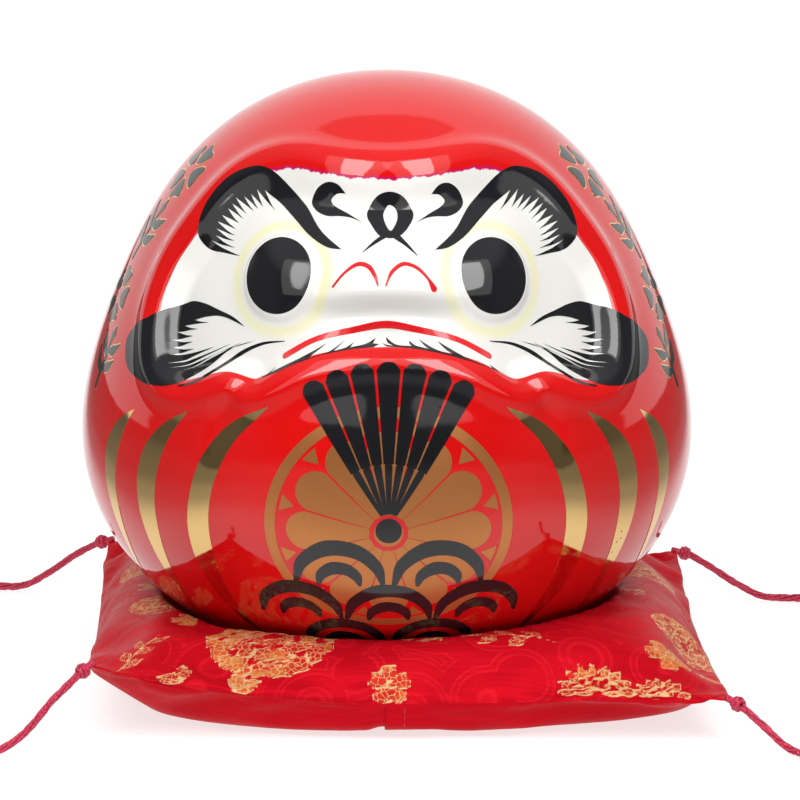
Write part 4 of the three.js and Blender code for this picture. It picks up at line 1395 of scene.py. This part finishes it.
class Skin:
    """The cushion's skin above and below the seam, which can be sampled anywhere."""

    def __init__(self):
        steps = cosine_steps(CELLS)
        a, b = np.meshgrid(steps, steps, indexing="ij")
        self.sides = {1: plain_skin(a, b, 1), -1: plain_skin(a, b, -1)}
        self.simulate()

    def simulate(self):
        """Lets a cloth with a little spare size settle over the filling, under the doll and on the floor."""
        n = CELLS + 1
        settings = bpy.context.scene.daruma_cushion
        lower = np.arange(n * n).reshape(n, n) + n * n
        upper = np.arange(n * n).reshape(n, n)
        rim = np.zeros((n, n), bool)
        rim[[0, -1], :] = rim[:, [0, -1]] = True
        lower[rim] = upper[rim]
        points = np.vstack([self.sides[1].reshape(-1, 3), self.sides[-1].reshape(-1, 3)])
        faces = []
        for i in range(CELLS):
            for j in range(CELLS):
                faces.append((upper[i, j], upper[i + 1, j], upper[i + 1, j + 1], upper[i, j + 1]))
                faces.append((lower[i, j], lower[i, j + 1], lower[i + 1, j + 1], lower[i + 1, j]))
        cloth = mesh_object("cloth_at_work", points, faces)
        pinned = cloth.vertex_groups.new(name="seam")
        pinned.add([int(k) for k in upper[rim]], 1.0, "REPLACE")
        used = set(np.unique(faces).tolist())
        modifier = cloth.modifiers.new("cloth", "CLOTH")
        work = modifier.settings
        work.quality = 6
        work.mass = 0.1
        work.tension_stiffness = 20
        work.compression_stiffness = 12
        work.shear_stiffness = 6
        work.bending_stiffness = 2.0
        work.tension_damping = work.compression_damping = work.shear_damping = 12
        work.air_damping = 4
        work.use_pressure = True
        work.uniform_pressure_force = settings.pressure
        work.shrink_min = -settings.spare
        work.vertex_group_mass = "seam"
        work.effector_weights.gravity = 0
        modifier.collision_settings.distance_min = 0.001
        modifier.collision_settings.use_self_collision = False
        press = self.collider("press", body_profile(np.linspace(math.pi, math.pi * 0.45, 40), -0.2))
        plate = mesh_object("plate", [(-300, -300, -0.6), (300, -300, -0.6), (300, 300, -0.6), (-300, 300, -0.6)],
                            [(0, 1, 2, 3)])
        for obstacle in (press, plate):
            obstacle.modifiers.new("collision", "COLLISION")
            obstacle.collision.thickness_outer = 0.0005
        scene = bpy.context.scene
        for step in range(1, 25):
            scene.frame_set(step)
        after = cloth.evaluated_get(bpy.context.evaluated_depsgraph_get()).to_mesh()
        moved = np.empty(len(after.vertices) * 3)
        after.vertices.foreach_get("co", moved)
        moved = moved.reshape(-1, 3) / MM
        scene.frame_set(1)
        for obj in (cloth, press, plate):
            bpy.data.objects.remove(obj)
        if len(moved) != len(points) or not np.isfinite(moved).all() or len(used) < n * n:
            raise RuntimeError("the cloth simulation did not settle")
        shift = self.smoothed(moved - points, n, rim)
        length = np.maximum(1e-9, np.linalg.norm(shift, axis=1))[:, None]
        moved = points + shift * np.minimum(1, MOST_MOVED / length)
        moved[upper[rim]] = points[upper[rim]]
        self.sides = {1: moved[upper], -1: moved[lower]}
        top, low = self.sides[1], self.sides[-1]
        top[..., 2] = np.minimum(top[..., 2], dent(top[..., 0], top[..., 1]))
        low[..., 2] = np.maximum(low[..., 2], 0)

    def smoothed(self, shift, n, rim, rounds=3):
        """The cloth's movement without its finest creases."""
        for side in (slice(0, n * n), slice(n * n, 2 * n * n)):
            grid = shift[side].reshape(n, n, 3)
            grid[rim] = 0
            for _ in range(rounds):
                grid[1:-1, 1:-1] = (2 * grid[1:-1, 1:-1] + grid[:-2, 1:-1] + grid[2:, 1:-1] + grid[1:-1, :-2]
                                    + grid[1:-1, 2:]) / 6
        return shift

    def collider(self, name, profile):
        columns = 64
        turn = np.linspace(0, 2 * math.pi, columns, endpoint=False)
        points = [(r * math.cos(t), r * math.sin(t), max(z, FOOT_Z)) for r, z in profile[1:] for t in turn]
        faces = grid_faces(len(profile) - 1, columns, wrap=True)
        faces.append(tuple(reversed(range(columns))))
        return mesh_object(name, points, faces)

    def at(self, a, b, side):
        """Points of the skin, smoothly between the cloth's own."""
        grid = self.sides[side]
        row = np.arccos(np.clip(-a, -1, 1)) / math.pi * CELLS
        column = np.arccos(np.clip(-b, -1, 1)) / math.pi * CELLS
        return cubic(cubic(grid, row, 0), column, 1)


def cubic(grid, at, axis):
    """A grid sampled along one axis with Catmull-Rom weights."""
    grid = np.moveaxis(grid, axis, 0)
    last = len(grid) - 1
    i = np.clip(np.floor(at).astype(int), 0, last - 1)
    t = (at - i).reshape(-1, *[1] * (grid.ndim - 1))
    before = np.where((i == 0).reshape(t.shape), 2 * grid[0] - grid[1], grid[np.maximum(i - 1, 0)])
    after = np.where((i + 2 > last).reshape(t.shape), 2 * grid[last] - grid[last - 1], grid[np.minimum(i + 2, last)])
    here, there = grid[i], grid[i + 1]
    out = 0.5 * ((2 * here) + (there - before) * t + (2 * before - 5 * here + 4 * there - after) * t ** 2
                 + (3 * here - before - 3 * there + after) * t ** 3)
    return np.moveaxis(out, 0, axis)


def grid_normals(points):
    """Normals of a grid of points, across first and back second."""
    across = np.gradient(points, axis=0)
    back = np.gradient(points, axis=1)
    normal = np.cross(across, back)
    return normal / np.maximum(1e-9, np.linalg.norm(normal, axis=2))[..., None]


def soft_noise(x, seed, waves=7, base=1.0):
    """A smooth random curve between about -1 and 1, the same each time."""
    rng = np.random.default_rng(seed)
    out = np.zeros_like(x)
    for k in range(waves):
        out += np.sin(x * base * (1 + 0.6 * k) + rng.uniform(0, math.tau)) * rng.uniform(0.5, 1) / (1 + 0.25 * k)
    return out / 2.6


def puckers(a, b, side):
    """Small gathers along the seam, in mm along the skin's normal."""
    out = np.zeros(a.shape)
    edges = ((a, b, 0), (-a, b, 1), (b, a, 2), (-b, a, 3))
    for toward, along, k in edges:
        from_seam = (1 - toward) * HALF_WIDTH
        wave = soft_noise(along * HALF_WIDTH, 10 * k + (side > 0), base=0.28)
        slow = soft_noise(along * HALF_WIDTH, 50 + k, waves=4, base=0.07)
        out += (0.34 * wave * np.exp(-from_seam / 9) + 0.5 * slow * np.exp(-from_seam / 20)) * smooth(from_seam / 1.2)
    return out * smooth((1 - np.maximum(np.abs(a), np.abs(b))) * 200)


def skin_grid(skin, across, back, side, inset=0.0, faded=True):
    """A grid of skin points with gathers, a given inset inside the surface."""
    a, b = np.meshgrid(across, back, indexing="ij")
    points = skin.at(across, back, side)
    normal = grid_normals(points) * side
    points = points + normal * puckers(a, b, side)[..., None]
    fade = np.minimum(1, fullness(a, b) * 6) if faded else 1.0
    depth = np.broadcast_to(inset, a.shape) * fade
    points = points - np.stack([0 * depth, 0 * depth, side * depth], -1) - normal * (depth * 0.0)[..., None]
    if side > 0:
        limit = dent(points[..., 0], points[..., 1]) - depth
        points[..., 2] = np.minimum(points[..., 2], limit)
    else:
        points[..., 2] = np.maximum(points[..., 2], depth)
    return points


def cut_lengths(points):
    """Flat cloth coordinates of a grid, from lengths along its rows and columns, in metres."""
    middle = np.array(points.shape[:2]) // 2

    def run(axis):
        gap = np.linalg.norm(np.diff(points, axis=axis), axis=2)
        total = np.cumsum(gap, axis=axis)
        total = np.concatenate([np.zeros_like(np.take(total, [0], axis)), total], axis)
        return total - np.take(total, [middle[axis]], axis)
    return np.stack([run(0), run(1)], -1) * MM


def shell(name, outer, inner, material, flip=False):
    """A closed sheet between an outer and an inner grid, outer grid's vertices first."""
    rows, columns = outer.shape[:2]
    points = np.vstack([outer.reshape(-1, 3), inner.reshape(-1, 3)])
    count = rows * columns
    faces = [f[::-1] for f in grid_faces(rows, columns)]
    faces += grid_faces(rows, columns, start=count)
    loop = ([(0, j) for j in range(columns)] + [(i, columns - 1) for i in range(1, rows)]
            + [(rows - 1, j) for j in range(columns - 2, -1, -1)] + [(i, 0) for i in range(rows - 2, 0, -1)])
    ring = [i * columns + j for i, j in loop]
    for p, q in zip(ring, ring[1:] + ring[:1]):
        faces.append((p, q, q + count, p + count))
    if flip:
        faces = [f[::-1] for f in faces]
    obj = mesh_object(name, points, faces, material, sharp=60)
    return obj


# Woven flowers: (kind, across mm, back mm, size mm, turn) on the flat cloth, from its middle.
FLOWERS = [
    ("peony", -54, -100, 27, 10), ("leaves", -90, -126, 12, 20), ("leaves", -70, -131, 12, -50),
    ("sprig", -108, -100, 15, -35), ("peony", -104, -36, 15, 60), ("bud", -90, -64, 10, 100),
    ("peony", -110, 34, 17, 40), ("flower", -8, -131, 9, 0), ("sprig", 40, -104, 19, 85),
    ("mum", 74, -130, 16, 8), ("mum", 100, -130, 13, -14), ("flower", 104, -101, 11, 30),
    ("leaves", 120, -100, 10, -60), ("peony", 122, -66, 18, -70), ("leaves", 108, -20, 11, 110),
    ("peony", 112, 22, 16, -60), ("flower", 100, 62, 12, 10), ("peony", 60, 112, 20, 170),
    ("mum", -10, 118, 18, 180), ("sprig", 18, 124, 14, 90), ("flower", -58, 110, 12, 200),
    ("leaves", -92, 96, 11, 150), ("mum", 108, 106, 15, 140), ("sprig", -112, 78, 14, 20),
    ("sprig", 6, -104, 12, 60), ("leaves", -108, -4, 10, 80),
]


def flower_lines(kind, seed):
    """Closed outlines, open lines and fills of a woven flower of size 1."""
    rng = np.random.default_rng(seed)
    closed, lines = [], []
    if kind == "peony":
        for ring, (count, r, w) in enumerate(((11, 0.98, 0.30), (8, 0.68, 0.28), (5, 0.38, 0.24))):
            for i in range(count):
                a = i * 360 / count + ring * 17 + rng.uniform(-5, 5)
                closed.append(smooth_line([tuple(p) for p in np.vstack([
                    polar(r - w, [a - 4]), polar(r - w * 0.3, [a - 20 / r]), polar(r, [a - 9 / r]),
                    polar(r - 0.05, [a]), polar(r, [a + 9 / r]), polar(r - w * 0.3, [a + 20 / r])])],
                    closed=True, step=0.05))
    elif kind == "mum":
        for count, start, length in ((9, 0.5, 1.0), (6, 0.12, 0.58)):
            for i in range(count):
                a = -85 + i * 170 / (count - 1) + rng.uniform(-3, 3)
                root, tip = tuple(polar(start, [a])[0]), tuple(polar(length, [a])[0])
                waist = start + (length - start) * 0.55
                left, right = (tuple(polar(waist, [a + side])[0]) for side in (-9, 9))
                closed.append(outline([root, left, tip], [tip, right, root], step=0.05))
    elif kind in ("flower", "bud"):
        for i in range(5 if kind == "flower" else 3):
            a = i * 72 - (0 if kind == "flower" else 72)
            closed.append(smooth_line([tuple(p) for p in np.vstack([
                polar(0.15, [a]), polar(0.6, [a - 34]), polar(0.95, [a - 16]), polar(0.88, [a]),
                polar(0.95, [a + 16]), polar(0.6, [a + 34])])], closed=True, step=0.05))
        closed.append(polar(0.16, np.arange(0, 360, 30)))
    elif kind == "leaves":
        for a in (-38, 24):
            closed.append(outline([(0, 0), tuple(polar(0.6, [a - 26])[0]), tuple(polar(1.0, [a])[0])],
                                  [tuple(polar(1.0, [a])[0]), tuple(polar(0.6, [a + 26])[0]), (0, 0)], step=0.05))
            lines.append(smooth_line([(0, 0), tuple(polar(0.9, [a])[0])], step=0.05))
    else:
        lines.append(smooth_line([(-0.1, -1), (0.05, 0), (0, 1)], step=0.05))
        for height, side in ((-0.7, 1), (-0.4, -1), (-0.1, 1), (0.2, -1), (0.5, 1)):
            tip = (side * 0.42, height + 0.42)
            closed.append(outline([(0, height), (side * 0.12, height + 0.3), tip],
                                  [tip, (side * 0.34, height + 0.1), (0, height)], step=0.05))
    return closed, lines


def woven_flowers(flat):
    """Distance to the nearest flower outline, and how deep inside a petal, in mm, on the flat cloth."""
    nearest = np.full(len(flat), 9.0)
    deepest = np.full(len(flat), -9.0)
    for k, (kind, x, y, size, turn) in enumerate(FLOWERS):
        near = np.hypot(flat[:, 0] - x, flat[:, 1] - y) < size * 1.25 + 2
        if not near.any():
            continue
        p = flat[near]
        closed, lines = flower_lines(kind, k)
        line_gap, depth = nearest[near], deepest[near]
        for shape in closed:
            distance, inside = segment_distance(p, placed(shape, size, turn, (x, y)), True)
            line_gap = np.minimum(line_gap, distance)
            depth = np.maximum(depth, np.where(inside, distance, -distance))
        for line in lines:
            line_gap = np.minimum(line_gap, segment_distance(p, placed(line, size, turn, (x, y)), False)[0])
        nearest[near] = line_gap
        deepest[near] = depth
    return nearest, deepest


class DARUMA_OT_cushion(bpy.types.Operator):
    """The cushion: brocade top panel, two satin base panels and the filling"""
    bl_idname = "daruma.cushion"
    bl_label = "Cushion"

    def execute(self, context):
        settings = context.scene.daruma_cushion
        cloth = settings.cloth / MM
        skin = Skin()
        dense = cosine_steps(216)
        self.top_panel(skin, dense, cloth)
        self.base_panels(skin, cloth)
        self.filling(skin)
        return {"FINISHED"}

    def top_panel(self, skin, steps, cloth):
        outer = skin_grid(skin, steps, steps, 1)
        inner = skin_grid(skin, steps, steps, 1, cloth)
        panel = shell("brocade_top_panel", outer, inner, material("Brocade", brocade_cloth), flip=True)
        flat = cut_lengths(outer)
        flat_all = np.vstack([flat.reshape(-1, 2)] * 2)
        add_uv(panel, flat_all)
        nearest, deepest = woven_flowers(flat.reshape(-1, 2) / MM)
        hidden = np.full(len(nearest), 9.0)
        add_attribute(panel, "flower_line", np.concatenate([nearest, hidden]))
        add_attribute(panel, "flower_fill", np.concatenate([deepest, -hidden]))
        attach(panel, "cushion")
        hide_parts("cushion_top_panel")

    def base_panels(self, skin, cloth):
        reach = HALF_WIDTH
        split = (OVERLAP_EDGE - MIDDLE[0]) / reach
        tuck = (OVERLAP_TUCK - MIDDLE[0]) / reach
        back = cosine_steps(150)
        satin = material("Plain satin", satin_cloth)
        left = np.concatenate([cosine_steps(84, -1, split - 0.07), np.linspace(split - 0.06, tuck, 26)])
        right = cosine_steps(84, split, 1)
        lifted = (LAYER * smooth((left - split + 0.06) / 0.05))[:, None]
        for name, across, lift in (("left", left, lifted), ("right", right, 0.0)):
            outer = skin_grid(skin, across, back, -1, lift)
            inner = skin_grid(skin, across, back, -1, lift + cloth)
            panel = shell(f"satin_base_panel_{name}", outer, inner, satin)
            flat = cut_lengths(outer)
            add_uv(panel, np.vstack([flat.reshape(-1, 2)] * 2))
            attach(panel, "cushion")
            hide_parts(f"cushion_base_panel_{name}")
            if name == "right":
                self.hem(outer)

    def hem(self, outer):
        """Stitches of the turned hem along the right base panel's free edge."""
        row = 3
        line = outer[row] + [0, 0, -0.05]
        line = line[6:-6]
        mesh = bpy.data.meshes.new("hem_stitches")
        mesh.from_pydata((line * MM).tolist(), [(i, i + 1) for i in range(len(line) - 1)], [])
        stitches = new_object("hem_stitches", mesh)
        modifier = stitches.modifiers.new("stitches", "NODES")
        modifier.node_group = stitch_tree()
        for item in modifier.node_group.interface.items_tree:
            if item.in_out == "INPUT" and item.name == "Thread":
                modifier[item.identifier] = material("Seam thread", thread_cloth, "Seam thread", (0.45, 0.006, 0.015))
        settle(stitches)
        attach(stitches, "cushion")

    def filling(self, skin):
        steps = cosine_steps(100) * 0.932
        upper = skin_grid(skin, steps, steps, 1, LAYER)
        lower = skin_grid(skin, steps, steps, -1, 2 * LAYER)
        middle = (upper[..., 2] + lower[..., 2]) / 2
        thin = upper[..., 2] - lower[..., 2] < 0.3
        upper[thin, 2] = middle[thin] + 0.15
        lower[thin, 2] = middle[thin] - 0.15
        filling = shell("cotton_filling", lower, upper, material("Wadding", wadding_cloth))
        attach(filling, "cushion")
        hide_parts("cushion_filling")


def stitch_tree():
    """Geometry nodes that lay short thread stitches along an edge line."""
    if "Stitch line" in bpy.data.node_groups:
        return bpy.data.node_groups["Stitch line"]
    tree = bpy.data.node_groups.new("Stitch line", "GeometryNodeTree")
    tree.is_modifier = True
    face = tree.interface
    face.new_socket("Geometry", in_out="INPUT", socket_type="NodeSocketGeometry")
    for key, default in (("Stitch length", 0.0022), ("Pitch", 0.0034), ("Thickness", 0.00018)):
        face.new_socket(key, in_out="INPUT", socket_type="NodeSocketFloat").default_value = default
    face.new_socket("Thread", in_out="INPUT", socket_type="NodeSocketMaterial")
    face.new_socket("Geometry", in_out="OUTPUT", socket_type="NodeSocketGeometry")
    s = Sheet(tree)
    given = s.add("NodeGroupInput").outputs
    curve = s.add("GeometryNodeMeshToCurve", {"Mesh": given["Geometry"]})
    spots = s.add("GeometryNodeCurveToPoints", {"Curve": curve.outputs[0], "Length": given["Pitch"]}, mode="LENGTH")
    half = s.math("MULTIPLY", given["Stitch length"], 0.5)
    start = s.add("ShaderNodeCombineXYZ", {"Z": s.math("MULTIPLY", half, -1.0)}).outputs[0]
    end = s.add("ShaderNodeCombineXYZ", {"Z": half}).outputs[0]
    line = s.add("GeometryNodeCurvePrimitiveLine", {"Start": start, "End": end}).outputs[0]
    ring = s.add("GeometryNodeCurvePrimitiveCircle", {"Resolution": 6, "Radius": given["Thickness"]}).outputs[0]
    stitch = s.add("GeometryNodeCurveToMesh", {"Curve": line, "Profile Curve": ring, "Fill Caps": True}).outputs[0]
    placed_ = s.add("GeometryNodeInstanceOnPoints",
                    {"Points": spots.outputs["Points"], "Instance": stitch, "Rotation": spots.outputs["Rotation"]})
    real = s.add("GeometryNodeRealizeInstances", {"Geometry": placed_.outputs[0]}).outputs[0]
    painted = s.add("GeometryNodeSetMaterial", {"Geometry": real, "Material": given["Thread"]}).outputs[0]
    s.add("NodeGroupOutput", {"Geometry": painted})
    return tree


class DARUMA_OT_tassels(bpy.types.Operator):
    """A wrapped knot and a loose twisted tassel at each corner"""
    bl_idname = "daruma.tassels"
    bl_label = "Knots and tassels"

    strands: bpy.props.IntProperty(name="Strands", description="Threads in a tassel", default=6, min=3, max=12)
    turns: bpy.props.FloatProperty(name="Turns", description="Turns of the threads in a tassel", default=1.6)

    def execute(self, context):
        thread = context.scene.daruma_cushion.thread / MM / 2
        crimson = tuple(context.scene.daruma_cushion.crimson)
        paint = material("Tassel thread", thread_cloth, "Tassel thread", crimson)
        for k, corner in enumerate(CORNERS):
            middle, away, tip = knot_place(corner)
            self.knot(corner, middle, away, tip, paint)
            self.tassel(corner, k, middle, away, tip, thread, paint)
        return {"FINISHED"}

    def knot(self, corner, middle, away, tip, paint):
        """Coils of thread round the corner's tip: a wrap, and a second one across it."""
        side = np.cross(away, (0, 0, 1))
        side /= np.linalg.norm(side)
        other = np.cross(away, side)
        paths, radii = [], []
        for axis, first, second, loops, size in ((away, side, other, 3.5, 2.45), (side, other, away, 2.0, 2.3)):
            t = np.linspace(0, 1, 90)
            polar_angle = math.pi * (0.14 + 0.72 * t)
            turn = math.tau * loops * t
            ring = size * np.sin(polar_angle)
            path = (middle + np.outer(ring * np.cos(turn), first) + np.outer(ring * np.sin(turn), second)
                    + np.outer(size * np.cos(polar_angle), axis))
            paths.append(path)
            radii.append(np.full(90, 0.78))
        stub = np.array([tip - away * 2.4, tip + away * 1.5, middle])
        paths.append(smooth_line(stub, step=0.6))
        radii.append(np.full(len(paths[-1]), 1.5))
        obj = tubes_object(f"wrapped_knot_{corner}", paths, radii, 8, paint)
        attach(obj, "cushion")
        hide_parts(f"corner_knot_{corner}")

    def tassel(self, corner, k, middle, away, tip, thread, paint):
        """Threads wound loosely round the tassel's line, each ending at its own place."""
        rng = np.random.default_rng(40 + k)
        start = tip + away * (2 * KNOT_REACH - 1.4)
        line = smooth_line([tuple(start)] + TASSEL_ROUTES[corner][1:], step=1.1)
        t = np.linspace(0, 1, len(line))
        tangent = np.gradient(line, axis=0)
        tangent /= np.linalg.norm(tangent, axis=1)[:, None]
        side = np.cross(tangent, (0, 0, 1))
        side /= np.linalg.norm(side, axis=1)[:, None]
        lift = np.cross(side, tangent)
        paths, radii = [], []
        for i in range(self.strands):
            phase = math.tau * i / self.strands
            wobble = soft_noise(t * 9, 100 * k + i, waves=4) * 0.35
            turn = phase + math.tau * self.turns * t + wobble
            reach = (0.95 + 0.35 * t ** 3 + 0.22 * soft_noise(t * 14, 7 * k + i, waves=4))
            offset = side * (np.cos(turn) * reach)[:, None] + lift * (np.sin(turn) * reach)[:, None]
            path = line + offset
            path[:, 2] = np.maximum(path[:, 2], thread + 0.05)
            count = len(path) - (rng.integers(1, 5) if i % 3 == 1 else 0)
            paths.append(path[:count])
            ply = 1 + 0.12 * np.sin(np.arange(count) * 2.1 + i)
            radii.append(thread * ply * np.where(np.arange(count) > count - 2, 0.7, 1.0))
        obj = tubes_object(f"loose_tassel_{corner}", paths, radii, 7, paint)
        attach(obj, "cushion")
        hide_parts(f"tassel_{corner}")


# ---- The add-on ----

STEPS = ("stage", "tassels", "body", "face", "stripes", "crest", "belly", "side_motifs", "stopper", "cushion")


class DARUMA_PT_panel(bpy.types.Panel):
    """Lists the operators in the order in which main calls them"""
    bl_idname = "DARUMA_PT_panel"
    bl_label = "Daruma Doll"
    bl_space_type = "VIEW_3D"
    bl_region_type = "UI"
    bl_category = "Daruma"

    def draw(self, context):
        for key in STEPS:
            self.layout.operator(f"daruma.{key}")
        for settings in (context.scene.daruma_doll, context.scene.daruma_cushion):
            box = self.layout.box()
            for name in settings.__annotations__:
                box.prop(settings, name)


CLASSES = (DollSettings, CushionSettings, DARUMA_OT_stage, DARUMA_OT_tassels, DARUMA_OT_body, DARUMA_OT_face,
           DARUMA_OT_stripes, DARUMA_OT_crest, DARUMA_OT_belly, DARUMA_OT_side_motifs, DARUMA_OT_stopper,
           DARUMA_OT_cushion, DARUMA_PT_panel)


def register():
    for cls in CLASSES:
        bpy.utils.register_class(cls)
    bpy.types.Scene.daruma_doll = bpy.props.PointerProperty(type=DollSettings)
    bpy.types.Scene.daruma_cushion = bpy.props.PointerProperty(type=CushionSettings)


def unregister():
    del bpy.types.Scene.daruma_cushion
    del bpy.types.Scene.daruma_doll
    for cls in reversed(CLASSES):
        bpy.utils.unregister_class(cls)


def main():
    register()
    for key in STEPS:
        getattr(bpy.ops.daruma, key)()


if __name__ == "__main__":
    main()
